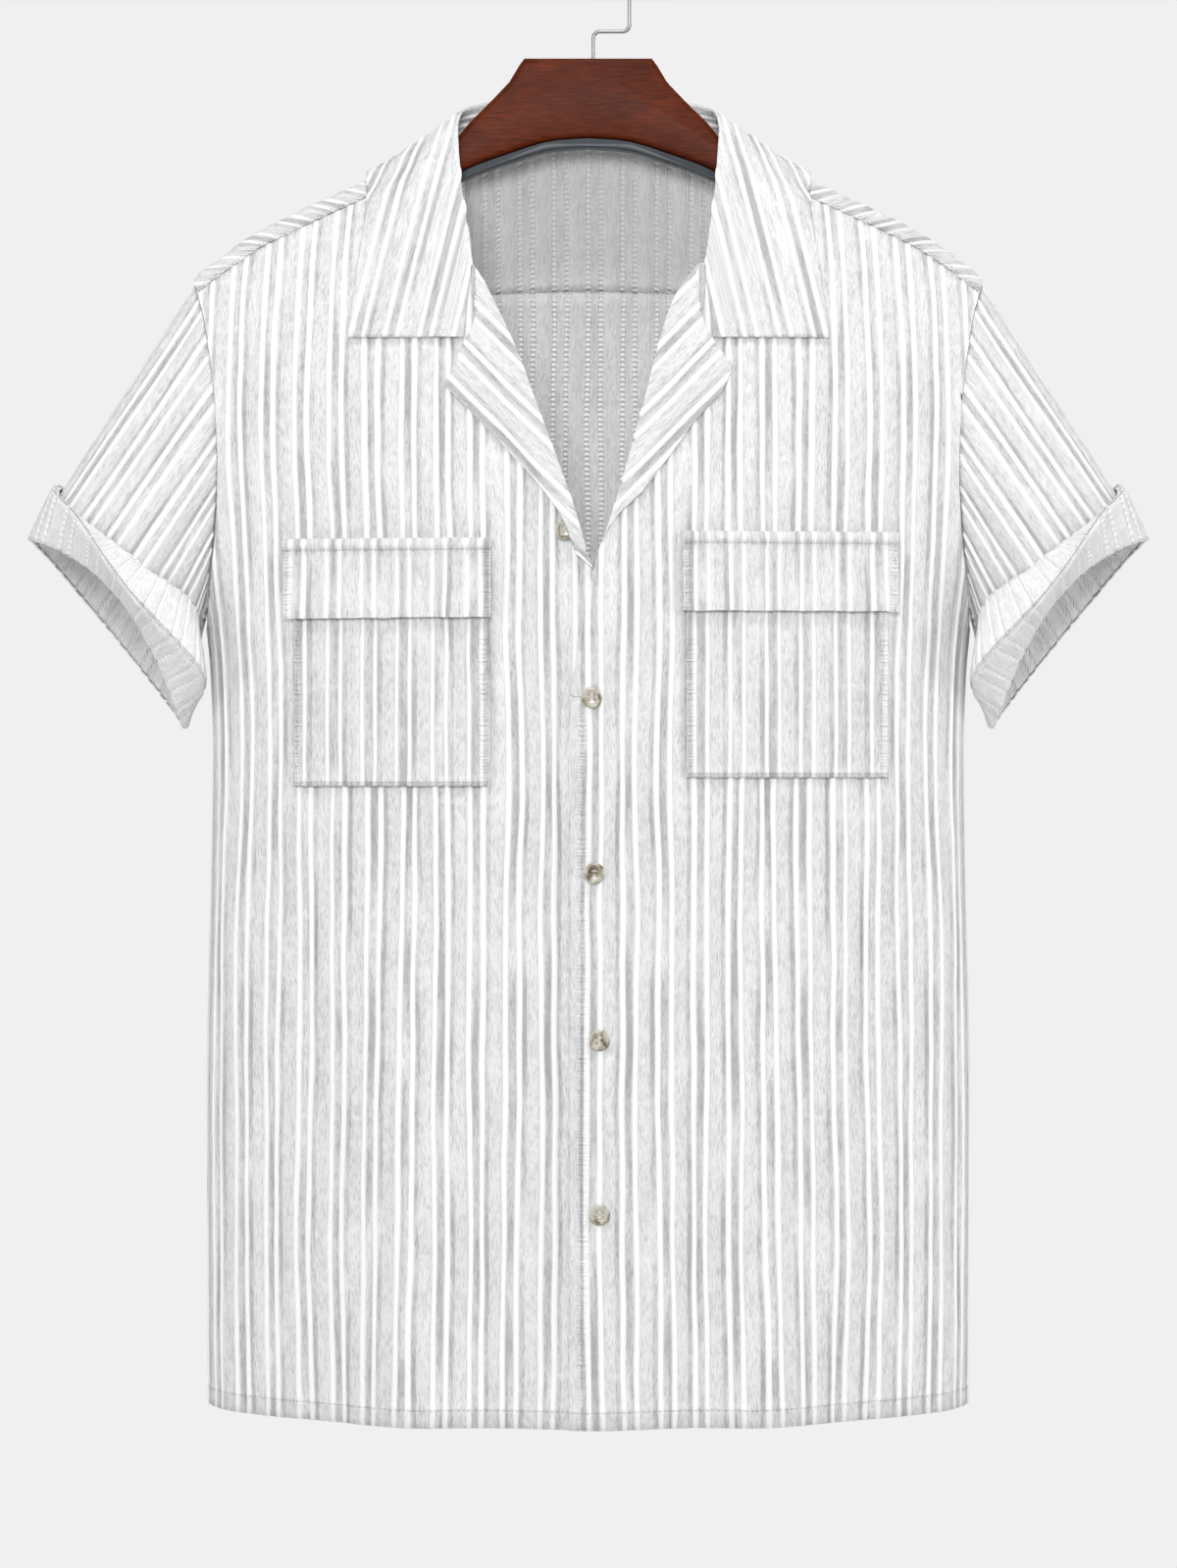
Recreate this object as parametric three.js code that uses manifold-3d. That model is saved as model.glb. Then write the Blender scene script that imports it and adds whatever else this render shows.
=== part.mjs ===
// Short-sleeved camp-collar shirt in crinkle-striped cotton, hung on a flat wooden hanger.
// Millimetres, +Z up, the shirt's front faces -Y and +X is on the viewer's right.
// The origin is the inner top of the hanger's hook, where a rail carries it.

import * as THREE from 'three';
import Module from 'manifold-3d';
import { mergeVertices } from 'three/addons/utils/BufferGeometryUtils.js';

const wasm = await Module();
wasm.setup();

// Cloth
const CLOTH = 1.2;
const RIB_RISE = 0.8;
const RIB_PITCH = 20.6;
const RIB_PAIR_GAP = 7.6;
const RIB_CHANNEL_RISE = 0.1;
const RIB_MARGIN = 1.5;
const SEAM_GAP = 0.3;

// Body of the shirt
const SHIRT_OFFSET_X = -3;
const FRONT_FULLNESS = 66;
const BACK_FULLNESS = 48;
const CREST_RADIUS = 9;
const FALL_LENGTH = 90;
const SECTION_POWER = 2.5;
const SECTION_STEPS = 120;
const CHEST_Z = -600;
const ARMHOLE_TOP = -210;
const ARMHOLE_BOTTOM = -414;
const ARMHOLE_FULLNESS = 0.8;
const SHOULDER_END_X = 235;
const BODY_EDGE_X = 225;
const HEM_Z = -874;
const HEM_DIP = 7;
const HEM_DIP_WIDTH = 500;
const RIGHT_HEM_RAISE = 1;
const BACK_HEM_DROP = 2;
const FOLD_START_Z = -430;
const OVERLAP_LIFT = 3;
const OVERLAP_FADE = { from: 24, width: 36 };
const FRONT_EDGE = { under: -20, over: -11 };
const GORGE_Z = -201;

// Yoke over the shoulders: its front seam below the shoulder line, where its ribs slant inward, and
// its back seam
const YOKE_FRONT_DROP = 12;
const YOKE_FRONT_SLANT = 1.35;
const YOKE_SLANT_WIDTH = 40;
const YOKE_BACK_Z = -210;
const YOKE_BACK_SLOPE = 25;
const YOKE_REACH = 256;
const YOKE_NECK = [
  { x: 85, z: -60 }, { x: 85, z: -128.6 }, { x: 73, z: -128.2 }, { x: 60, z: -124.4 },
];

// Places beyond the shirt, where the straight cuts of its panels end
const BEYOND = { x: 300, y: 200, top: -60, bottom: -920 };

// Height of the shoulder line above the arms of the hanger, out from the neck
const SHOULDER = [
  { x: 0, z: -104 }, { x: 40, z: -108 }, { x: 85, z: -125 }, { x: 133, z: -148.5 },
  { x: 170, z: -165.5 }, { x: 195, z: -178 }, { x: 213, z: -190 }, { x: 235, z: -207 }, { x: 262, z: -230 },
];

// Armhole seam seen from the front, from the underarm up
const ARMHOLE = [
  { z: -414, x: 226 }, { z: -385, x: 222 }, { z: -355, x: 219 }, { z: -325, x: 217.5 },
  { z: -288, x: 219 }, { z: -257, x: 222.5 }, { z: -232, x: 227 }, { z: -216, x: 231.5 },
  { z: -205, x: 235.5 },
];

// Half width of the body below the underarm
const SIDE = [
  { z: -890, x: 224 }, { z: -800, x: 225 }, { z: -700, x: 225 }, { z: -560, x: 223 },
  { z: -480, x: 222 }, { z: -440, x: 223.5 }, { z: -414, x: 226 },
];

// Soft hanging folds that open towards the hem: centre, half width and depth at the hem
const FRONT_FOLDS = [
  { x: -107, spread: 30, depth: 13 }, { x: 0, spread: 26, depth: 8 }, { x: 106, spread: 30, depth: 13 },
];
const BACK_FOLDS = [
  { x: -128, spread: 30, depth: 11 }, { x: -34, spread: 34, depth: 9 }, { x: 82, spread: 36, depth: 12 },
];

// Edge of the neck opening on the front, from the shoulder down to the gorge
const NECKLINE = [
  { z: -201, x: 73 }, { z: -180, x: 77.5 }, { z: -160, x: 81 }, { z: -138, x: 84 }, { z: -110, x: 85.5 },
];

// Roll line of each lapel, out from the centre front
const ROLL_RIGHT = [
  { z: -383, x: -3 }, { z: -358, x: 4.5 }, { z: -338, x: 10.5 }, { z: -300, x: 24.5 },
  { z: -255, x: 41 }, { z: -214, x: 60 }, { z: -201, x: 68 },
];
const ROLL_LEFT = [
  { z: -449, x: -10 }, { z: -404, x: -1 }, { z: -381, x: 3 }, { z: -348, x: 14 }, { z: -310, x: 25 },
  { z: -265, x: 37 }, { z: -235, x: 45 }, { z: -214, x: 54.5 }, { z: -201, x: 65 },
];

// Free edge of each lapel from the break up to its point, its notch and the gorge
const LAPEL_RIGHT = [
  { x: 1.5, z: -372 }, { x: 8, z: -354 }, { x: 19, z: -339 }, { x: 33.5, z: -325 }, { x: 55.5, z: -303 },
  { x: 84, z: -274 }, { x: 66.5, z: -236 }, { x: 66, z: -207 },
];
const LAPEL_LEFT = [
  { x: 11, z: -359 }, { x: 18.5, z: -349 }, { x: 30.5, z: -338 }, { x: 40.5, z: -325 }, { x: 60, z: -298 },
  { x: 78, z: -278 }, { x: 84.5, z: -263 }, { x: 75, z: -251 }, { x: 68.5, z: -240 }, { x: 65.5, z: -230 },
  { x: 63, z: -207 },
];
const LAPEL_LIFT = 2.5;
const LAPEL_TURN = 45;
const BUTTON_BUMP = { x: 10, z: -359, height: 3.6, spread: 500 };

// Collar from the centre back (t 0) round to the gorge (t 1): seam, fold and outer edge of the fall
const COLLAR = [
  { t: 0, neckX: 0, neckY: 18.5, neckZ: -122.8, foldX: 0, foldY: 26, foldZ: -95,
    edgeX: 0, edgeY: 31, edgeZ: -152 },
  { t: 0.14, neckX: 34, neckY: 17.5, neckZ: -122.4, foldX: 32, foldY: 24, foldZ: -95.5,
    edgeX: 48, edgeY: 31, edgeZ: -154 },
  { t: 0.28, neckX: 62, neckY: 14, neckZ: -121.4, foldX: 56, foldY: 17, foldZ: -98,
    edgeX: 88, edgeY: 28, edgeZ: -158 },
  { t: 0.4, neckX: 80, neckY: 7, neckZ: -121, foldX: 71, foldY: 8, foldZ: -103,
    edgeX: 116, edgeY: 17, edgeZ: -155 },
  { t: 0.5, neckX: 84, neckY: -1, neckZ: -122, foldX: 76.5, foldY: -3, foldZ: -108.5,
    edgeX: 130, edgeY: 1, edgeZ: -143.6 },
  { t: 0.6, neckX: 83, neckY: -13, neckZ: -131, foldX: 78, foldY: -15, foldZ: -122,
    edgeX: 131, edgeY: -16, edgeZ: -157 },
  { t: 0.72, neckX: 80.5, neckY: -20, neckZ: -150, foldX: 76, foldY: -23, foldZ: -144,
    edgeX: 132.5, edgeY: -20, edgeZ: -178 },
  { t: 0.86, neckX: 76.5, neckY: -25, neckZ: -176, foldX: 72.5, foldY: -27, foldZ: -173,
    edgeX: 137, edgeY: -25, edgeZ: -212 },
  { t: 1, neckX: 71.5, neckY: -30, neckZ: -199, foldX: 68.5, foldY: -30, foldZ: -203,
    edgeX: 141, edgeY: -30, edgeZ: -245.5 },
];
const COLLAR_STAND = 28;
const COLLAR_FALL = 64;
const COLLAR_LIFT = 3;
const COLLAR_CREST_EXTRA = 2.1;
const COLLAR_CORNER = { x: 73, z: -246, share: 0.42, from: 0.72 };
const COLLAR_ON_FRONT = { from: 0.5, width: 0.1 };
const COLLAR_HALF_ROWS = [0, 0.12, 0.24, 0.34, 0.42, 0.48, 0.53, 0.6, 0.69, 0.79, 0.9, 1];

// Sleeve opening: a ring across the sleeve's axis
const OPENING = {
  x: 286, z: -416.5, halfWidth: 71.5, halfDepth: 44, alongX: 0.63, alongZ: 0.777,
  frontRise: 12, riseX: -0.5, riseZ: 0.866,
};
const SLEEVE_PERIODS = 18;
const SLEEVE_SEAM = 1.6;
const UNDERARM_SHIFT = 5.4;
const ARMHOLE_ROUNDING = 0.25;

// Turned-up cuff round the opening: height of the band's ridge and of the free edge above the fold,
// and how far each stands off the sleeve. 0 is the outer end, 90 the front, 180 the underarm.
const CUFF = [
  { angle: 0, bandRise: 34, bandOut: 7, edgeRise: 37, edgeOut: 3.4 },
  { angle: 45, bandRise: 30, bandOut: 18, edgeRise: 31, edgeOut: 3.4 },
  { angle: 90, bandRise: 15, bandOut: 31, edgeRise: 31, edgeOut: 3.4 },
  { angle: 135, bandRise: 20, bandOut: 25, edgeRise: 49, edgeOut: 4 },
  { angle: 180, bandRise: 19, bandOut: 4.5, edgeRise: 38, edgeOut: 3.2 },
  { angle: 225, bandRise: 28, bandOut: 8, edgeRise: 50, edgeOut: 3.6 },
  { angle: 270, bandRise: 33, bandOut: 12, edgeRise: 56, edgeOut: 3.6 },
  { angle: 315, bandRise: 34, bandOut: 10, edgeRise: 46, edgeOut: 3.4 },
];

// Patch pockets and their flaps, out from the centre front on each side
const POCKETS = {
  right: { inner: 58.5, outer: 172, top: -376, bottom: -508 },
  left: { inner: 57, outer: 175, top: -373, bottom: -503 },
};
const FLAPS = {
  right: { inner: 56.5, outer: 178, top: -364, bottom: -410 },
  left: { inner: 55, outer: 181, top: -360, bottom: -406 },
};
const POCKET_LIFT = 2.5;
const FLAP_LIFT = 5;
const FLAP_BEND = 4;
const WELT_HEIGHT = 7;
const WELT_LIFT = 3.4;
const PANEL_MARGIN = 2;

// Buttons, the first one on the under front half beneath the lapel. The flat facets of the cloth lie a
// little inside its true curve towards the hem, so each lift seats its button on the facet.
const BUTTON_RADIUS = 6.1;
const BUTTON_THICKNESS = 2.6;
const BUTTON_HOLE = { radius: 0.8, offset: 1.5 };
const BUTTON_CLEARANCE = 0.4;
const BUTTONS = [
  { x: -13, z: -359, lift: 0 }, { x: 2, z: -456.5, lift: OVERLAP_LIFT - 0.7 },
  { x: 3.5, z: -558.5, lift: OVERLAP_LIFT - 0.9 }, { x: 6.5, z: -655, lift: OVERLAP_LIFT - 1.15 },
  { x: 6.5, z: -756, lift: OVERLAP_LIFT - 1.4 },
];

// Hanger: a flat board with a black strip under it, and a wire hook
const BOARD_THICKNESS = 12;
const BOARD_BEVEL = 4;
const BOARD_CLEARANCE = 3.2;
const BOARD_END_X = 205;
const BOARD_TIP = { x: 208, z: -195 };
const BOARD_ARM_FROM_X = 100;
const BOARD_MIDDLE_X = 8;
const BOARD_NECK = [
  { x: 0, z: -75 }, { x: 38, z: -75 }, { x: 41, z: -79 }, { x: 47, z: -89 }, { x: 56, z: -98.5 },
  { x: 71, z: -113.5 }, { x: 79, z: -123.5 }, { x: 88, z: -131.5 },
];
const BOARD_LOWER = [
  { x: 0, z: -128.3 }, { x: 24, z: -130.3 }, { x: 46, z: -137 }, { x: 74, z: -147.5 },
  { x: 110, z: -168 }, { x: 160, z: -190 }, { x: 205, z: -206 },
];
const STRIP_HEIGHT = 5.5;
const STRIP_BEVEL = 0.8;
const WIRE_RADIUS = 1.1;
const HOOK_RADIUS = 21.5;
const HOOK_SHELF_Z = -58.6;
const HOOK_CORNER = 4;
const HOOK_END_ANGLE = 205;
const HOOK_ARC_STEPS = 12;
const HOOK_STEPS = 38;

// Smooth value of one named column of a table at a place in another
function lookup(rows, from, to, at) {
  const last = rows.length - 1;
  if (at <= rows[0][from]) return rows[0][to];
  if (at >= rows[last][from]) return rows[last][to];
  let i = 0;
  while (rows[i + 1][from] < at) i += 1;
  const slope = (k) => {
    const a = rows[Math.max(k - 1, 0)];
    const b = rows[Math.min(k + 1, last)];
    return (b[to] - a[to]) / (b[from] - a[from]);
  };
  const span = rows[i + 1][from] - rows[i][from];
  const s = (at - rows[i][from]) / span;
  const start = rows[i][to];
  const end = rows[i + 1][to];
  const bend = slope(i) * s * (1 - s) ** 2 - slope(i + 1) * s * s * (1 - s);
  return start + (end - start) * s * s * (3 - 2 * s) + bend * span;
}

const smoothStep = (t) => {
  const s = Math.min(Math.max(t, 0), 1);
  return s * s * (3 - 2 * s);
};

const mix = (a, b, t) => a + (b - a) * t;

// Shape of the body: how far the cloth stands in front of or behind the hanger
const shoulderZ = (x) => lookup(SHOULDER, 'x', 'z', Math.abs(x));
const armholeX = (z) => lookup(ARMHOLE, 'z', 'x', z);

function crestDepth(drop, fullness) {
  const t = Math.min(Math.max(drop, 0) / CREST_RADIUS, 1);
  const crest = CREST_RADIUS * Math.sqrt(1 - (1 - t) ** 2);
  return crest + fullness * (1 - Math.exp(-Math.max(drop, 0) / FALL_LENGTH));
}

function armholeShare(z) {
  const t = Math.min(Math.max((ARMHOLE_TOP - z) / (ARMHOLE_TOP - ARMHOLE_BOTTOM), 0), 1);
  return ARMHOLE_FULLNESS * Math.sqrt(1 - t ** 3);
}

function halfWidth(z) {
  if (z <= ARMHOLE_BOTTOM) return lookup(SIDE, 'z', 'x', z);
  return armholeX(z) / (1 - armholeShare(z) ** SECTION_POWER) ** (1 / SECTION_POWER);
}

function foldDepth(folds, x, z) {
  const growth = smoothStep((FOLD_START_Z - z) / (FOLD_START_Z - HEM_Z));
  const bell = (fold) => fold.depth * Math.exp(-(((x - fold.x) / fold.spread) ** 2));
  return growth * folds.reduce((sum, fold) => sum + bell(fold), 0);
}

function sheetDepth(x, z, isFront) {
  const share = 1 - Math.min(Math.abs(x) / halfWidth(z), 1) ** SECTION_POWER;
  const depth = crestDepth(shoulderZ(x) - z, isFront ? FRONT_FULLNESS : BACK_FULLNESS);
  return depth * share ** (1 / SECTION_POWER) + foldDepth(isFront ? FRONT_FOLDS : BACK_FOLDS, x, z);
}

const overlapLift = (x) => OVERLAP_LIFT * (1 - smoothStep((x - OVERLAP_FADE.from) / OVERLAP_FADE.width));

// One level section of the body as a path measured along the cloth from its centre
const sections = new Map();

function sectionPath(z, isFront, side) {
  const key = `${z.toFixed(3)} ${isFront} ${side}`;
  if (sections.has(key)) return sections.get(key);
  const path = [];
  let length = 0;
  for (let i = 0; i <= SECTION_STEPS; i += 1) {
    const angle = (Math.PI / 2) * (1 - i / SECTION_STEPS);
    const x = side * halfWidth(z) * Math.max(Math.cos(angle), 0) ** (2 / SECTION_POWER);
    const y = (isFront ? -1 : 1) * sheetDepth(x, z, isFront);
    const before = path[i - 1];
    if (before) length += Math.hypot(x - before.x, y - before.y);
    path.push({ length, x, y });
  }
  sections.set(key, path);
  return path;
}

function sectionLength(z, isFront, side) {
  return sectionPath(z, isFront, side).at(-1).length;
}

// Point of the cloth a given way round from the centre, in the grain's own count of millimetres
function clothPoint(along, z, isFront) {
  const side = along < 0 ? -1 : 1;
  const chest = sectionLength(CHEST_Z, isFront, side);
  const scale = sectionLength(Math.min(z, ARMHOLE_BOTTOM), isFront, side) / chest;
  const path = sectionPath(z, isFront, side);
  const want = Math.abs(along) * scale;
  let i = 1;
  while (i < path.length - 1 && path[i].length < want) i += 1;
  const share = (want - path[i - 1].length) / (path[i].length - path[i - 1].length);
  return new THREE.Vector3(
    mix(path[i - 1].x, path[i].x, share),
    mix(path[i - 1].y, path[i].y, share),
    z,
  );
}

// Columns of a ribbed wall: pairs of raised ribs with a narrow and a wide channel between them
function ribColumns(from, to, pitch = RIB_PITCH) {
  const gap = (RIB_PAIR_GAP / RIB_PITCH) * pitch;
  const pattern = [
    { at: 0, rise: RIB_RISE }, { at: gap / 2, rise: RIB_CHANNEL_RISE }, { at: gap, rise: RIB_RISE },
    { at: (gap + pitch) / 2, rise: 0, plain: true },
  ];
  const columns = [{ at: from, rise: 0, plain: true }];
  for (let start = Math.floor(from / pitch) * pitch; start < to; start += pitch) {
    for (const step of pattern) {
      const at = start + step.at;
      if (at > from + RIB_MARGIN && at < to - RIB_MARGIN) columns.push({ ...step, at });
    }
  }
  columns.push({ at: to, rise: 0, plain: true });
  return columns;
}

const steps = (count, bend = 1) => Array.from({ length: count + 1 }, (_, i) => (i / count) ** bend);

// Closed wall of cloth: ribs stand on its outer side and its inner side is plain and coarser.
// A looped wall is a tube with two rims, an open one has a rim all round.
function clothWall({ columns, rows, point, outward = 1, looped = false, relief = () => 1 }) {
  const nudge = 0.6;
  const rowNudge = 0.01;
  const normalAt = (at, v) => {
    const across = point(at + nudge, v).sub(point(at - nudge, v));
    const down = point(at, v + rowNudge).sub(point(at, v - rowNudge));
    return across.cross(down).normalize().multiplyScalar(outward);
  };
  const places = [];
  const layer = (list, heightOf) => list.map((column) => rows.map((v) => {
    const place = point(column.at, v).addScaledVector(normalAt(column.at, v), heightOf(column, v));
    places.push(place.x, place.y, place.z);
    return places.length / 3 - 1;
  }));
  const used = looped ? columns.slice(0, -1) : columns;
  const plain = used.filter((column) => column.plain);
  const outer = layer(used, (column, v) => CLOTH / 2 + column.rise * relief(v));
  const inner = layer(plain, () => -CLOTH / 2);
  const faces = [];
  const skin = (grid, turned) => {
    const count = looped ? grid.length : grid.length - 1;
    for (let i = 0; i < count; i += 1) {
      const next = grid[(i + 1) % grid.length];
      for (let j = 0; j < rows.length - 1; j += 1) {
        const [a, b, c, d] = [grid[i][j], next[j], next[j + 1], grid[i][j + 1]];
        if (turned) faces.push(a, c, b, a, d, c);
        else faces.push(a, b, c, a, c, d);
      }
    }
  };
  skin(outer, false);
  skin(inner, true);
  const rim = (outerEdge, innerEdge) => {
    let i = 0;
    let k = 0;
    while (i < outerEdge.length - 1 || k < innerEdge.length - 1) {
      const outerFirst = k === innerEdge.length - 1
        || (i < outerEdge.length - 1 && outerEdge[i + 1].at <= innerEdge[k + 1].at);
      if (outerFirst) {
        faces.push(outerEdge[i + 1].id, outerEdge[i].id, innerEdge[k].id);
        i += 1;
      } else {
        faces.push(outerEdge[i].id, innerEdge[k].id, innerEdge[k + 1].id);
        k += 1;
      }
    }
  };
  const last = rows.length - 1;
  const along = (list, grid, j) => {
    const edge = list.map((column, i) => ({ at: column.at, id: grid[i][j] }));
    if (looped) edge.push({ at: columns.at(-1).at + list[0].at - used[0].at, id: grid[0][j] });
    return edge;
  };
  const reversed = (edge) => edge.map(({ at, id }) => ({ at: -at, id })).reverse();
  rim(along(used, outer, 0), along(plain, inner, 0));
  rim(reversed(along(used, outer, last)), reversed(along(plain, inner, last)));
  if (!looped) {
    const down = (grid, i) => rows.map((v, j) => ({ at: v, id: grid[i][j] }));
    rim(down(outer, outer.length - 1), down(inner, inner.length - 1));
    rim(reversed(down(outer, 0)), reversed(down(inner, 0)));
  }
  const geometry = new THREE.BufferGeometry();
  geometry.setAttribute('position', new THREE.Float32BufferAttribute(places, 3));
  if (outward < 0) faces.reverse();
  geometry.setIndex(faces);
  return geometry;
}

// Cutting with closed solids
function toSolid(geometry) {
  const bare = geometry.clone();
  bare.deleteAttribute('normal');
  bare.deleteAttribute('uv');
  const merged = mergeVertices(bare, 1e-4);
  return new wasm.Manifold(new wasm.Mesh({
    numProp: 3,
    vertProperties: new Float32Array(merged.attributes.position.array),
    triVerts: new Uint32Array(merged.index.array),
  }));
}

function toGeometry(solid) {
  const mesh = solid.getMesh();
  const geometry = new THREE.BufferGeometry();
  geometry.setAttribute('position', new THREE.BufferAttribute(new Float32Array(mesh.vertProperties), 3));
  geometry.setIndex(new THREE.BufferAttribute(new Uint32Array(mesh.triVerts), 1));
  return geometry;
}

// Straight-sided block through the shirt from an outline seen from the front
function block(outline, yFrom, yTo) {
  const shape = new THREE.Shape(outline.map(({ x, z }) => new THREE.Vector2(x, z)));
  const geometry = new THREE.ExtrudeGeometry(shape, { depth: yTo - yFrom, bevelEnabled: false });
  geometry.rotateX(Math.PI / 2);
  geometry.translate(0, yTo, 0);
  return toSolid(geometry);
}

const mirrored = (outline, side) => outline.map(({ x, z }) => ({ x: side * x, z }));
const bothSides = (half) => [...half, ...mirrored(half, -1).reverse()];

function cutTo(geometry, outline) {
  return toGeometry(toSolid(geometry).intersect(block(outline, -BEYOND.y, BEYOND.y)));
}

// Points along a table's curve at even steps of its first column
function curve(rows, from, to, count, build) {
  return Array.from({ length: count + 1 }, (_, i) => build(mix(from, to, i / count), rows));
}

const armholeLine = (fromZ, toZ) => curve(ARMHOLE, fromZ, toZ, 14, (z) => ({ x: armholeX(z) - SEAM_GAP, z }));

// Front panels: from the yoke seam, neckline and roll line down to the hem
const rollAt = (roll, z) => lookup(roll, 'z', 'x', z);

function frontOutline(roll, edgeX) {
  const yokeZ = (x) => shoulderZ(x) - YOKE_FRONT_DROP - SEAM_GAP;
  const shoulder = { outer: 230, inner: 84 };
  const neckTopZ = -145;
  const breakDrop = 12;
  const low = roll[0].z;
  return [
    { x: BEYOND.x, z: BEYOND.bottom }, { x: BEYOND.x, z: ARMHOLE_BOTTOM - SEAM_GAP },
    ...armholeLine(ARMHOLE_BOTTOM - SEAM_GAP, yokeZ(shoulder.outer + 1)),
    ...curve(SHOULDER, shoulder.outer, shoulder.inner, 18, (x) => ({ x, z: yokeZ(x) })),
    ...curve(NECKLINE, neckTopZ, GORGE_Z + 1, 5, (z) => ({ x: lookup(NECKLINE, 'z', 'x', z), z })),
    ...curve(roll, GORGE_Z - 1, low, 12, (z) => ({ x: rollAt(roll, z), z })),
    { x: edgeX, z: low - breakDrop }, { x: edgeX, z: BEYOND.bottom },
  ];
}

function frontPanel(side, roll, edgeX, lift) {
  const reach = sectionLength(CHEST_Z, true, side) - SEAM_GAP / 2;
  const underYoke = 5;
  const point = (at, v) => {
    const top = shoulderZ(Math.min(Math.abs(at), SHOULDER_END_X)) - YOKE_FRONT_DROP + underYoke;
    const raise = side * at > 0 ? 0 : RIGHT_HEM_RAISE;
    const hemZ = HEM_Z - HEM_DIP * Math.cos((Math.PI * at) / HEM_DIP_WIDTH) + raise;
    const z = mix(top, hemZ, v);
    const place = clothPoint(side * at, z, true);
    place.y -= lift(side * place.x);
    return place;
  };
  const columns = ribColumns(edgeX - 3, reach);
  const geometry = clothWall({ columns, rows: steps(10, 1.2), point, outward: side });
  return cutTo(geometry, mirrored(frontOutline(roll, edgeX), side));
}

// Back panel below the yoke
const yokeBackZ = (x) => YOKE_BACK_Z - YOKE_BACK_SLOPE * (x / BODY_EDGE_X) ** 2;
const armholeTopZ = ARMHOLE.at(-1).z;

function backOutline() {
  return bothSides([
    { x: BEYOND.x, z: BEYOND.bottom }, { x: BEYOND.x, z: ARMHOLE_BOTTOM - SEAM_GAP },
    ...armholeLine(ARMHOLE_BOTTOM - SEAM_GAP, armholeTopZ),
  ]);
}

function backPanel() {
  const reach = sectionLength(CHEST_Z, false, 1) - SEAM_GAP / 2;
  const point = (at, v) => {
    const top = yokeBackZ(Math.min(Math.abs(at), SHOULDER_END_X)) - SEAM_GAP;
    return clothPoint(at, mix(top, HEM_Z - BACK_HEM_DROP, v), false);
  };
  const columns = ribColumns(-reach, reach);
  const geometry = clothWall({ columns, rows: steps(8, 1.2), point, outward: -1 });
  return cutTo(geometry, backOutline());
}

// Yoke: from the seam on the front, over the hanger's arms, to the seam across the back
function yokePanel() {
  const quarter = CREST_RADIUS * (Math.PI / 2);
  const pathDrop = (q) => {
    const way = Math.abs(q);
    return way < quarter ? CREST_RADIUS * (1 - Math.cos(way / CREST_RADIUS)) : CREST_RADIUS + way - quarter;
  };
  const frontEnd = -(quarter + YOKE_FRONT_DROP - CREST_RADIUS - 3 * SEAM_GAP);
  const point = (at, v) => {
    const backEnd = quarter + shoulderZ(at) - yokeBackZ(at) - CREST_RADIUS;
    const q = v < 0.5 ? mix(frontEnd, quarter, v * 2) : mix(quarter, backEnd, (v - 0.5) * 2);
    const drop = pathDrop(q);
    const outer = Math.min(Math.max(at / YOKE_SLANT_WIDTH, -1), 1);
    const slant = q < 0 ? YOKE_FRONT_SLANT * drop * outer : 0;
    const x = at - slant;
    const z = shoulderZ(x) - drop;
    const isFront = q < 0;
    const full = isFront ? FRONT_FULLNESS : BACK_FULLNESS;
    const out = Math.min(Math.abs(x) / halfWidth(z), 1);
    const share = (1 - out ** SECTION_POWER) ** (1 / SECTION_POWER);
    const way = Math.min(Math.abs(q) / CREST_RADIUS, Math.PI / 2);
    const depth = CREST_RADIUS * Math.sin(way) + full * (1 - Math.exp(-drop / FALL_LENGTH));
    return new THREE.Vector3(x, Math.sign(q) * depth * share, z);
  };
  const rows = [0, 0.14, 0.27, 0.38, 0.5, 0.72, 1];
  const geometry = clothWall({ columns: ribColumns(-YOKE_REACH, YOKE_REACH), rows, point, outward: -1 });
  const lowestZ = YOKE_BACK_Z - 2 * YOKE_BACK_SLOPE;
  const outline = bothSides([{ x: SHOULDER_END_X, z: BEYOND.top }, ...armholeLine(armholeTopZ, lowestZ)]);
  const neckSide = YOKE_NECK[0].x;
  const frontOfNeck = bothSides([{ x: neckSide, z: BEYOND.top }, { x: neckSide, z: GORGE_Z }]);
  const solid = toSolid(geometry)
    .intersect(block(outline, -BEYOND.y, BEYOND.y))
    .subtract(block(bothSides(YOKE_NECK), -BEYOND.y, BEYOND.y))
    .subtract(block(frontOfNeck, -BEYOND.y, 0));
  return toGeometry(solid);
}

// Pieces that lie on a front are worked out from its own points, moved out
function onFront({ outline, side, lift, turn = 0, rows, lifted = () => 0 }) {
  const angle = THREE.MathUtils.degToRad(turn);
  const across = ({ x, z }) => x * Math.cos(angle) + z * Math.sin(angle);
  const down = ({ x, z }) => x * Math.sin(angle) - z * Math.cos(angle);
  const range = (list) => [Math.min(...list) - PANEL_MARGIN, Math.max(...list) + PANEL_MARGIN];
  const [left, right] = range(outline.map(across));
  const [high, low] = range(outline.map(down));
  const surface = (x, z) => new THREE.Vector3(side * x, -sheetDepth(side * x, z, true) - lifted(x), z);
  const point = (at, v) => {
    const drop = mix(high, low, v);
    const x = at * Math.cos(angle) + drop * Math.sin(angle);
    const z = at * Math.sin(angle) - drop * Math.cos(angle);
    const place = surface(x, z);
    const slopeX = surface(x + 1, z).sub(surface(x - 1, z));
    const slopeZ = surface(x, z + 1).sub(surface(x, z - 1));
    const out = slopeX.cross(slopeZ).normalize().multiplyScalar(side);
    return place.addScaledVector(out, lift(x, z));
  };
  const geometry = clothWall({ columns: ribColumns(left, right), rows, point, outward: side });
  return cutTo(geometry, mirrored(outline, side));
}

const rectangle = ({ inner, outer, top, bottom }) => [
  { x: inner, z: top }, { x: outer, z: top }, { x: outer, z: bottom }, { x: inner, z: bottom },
];

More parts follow.
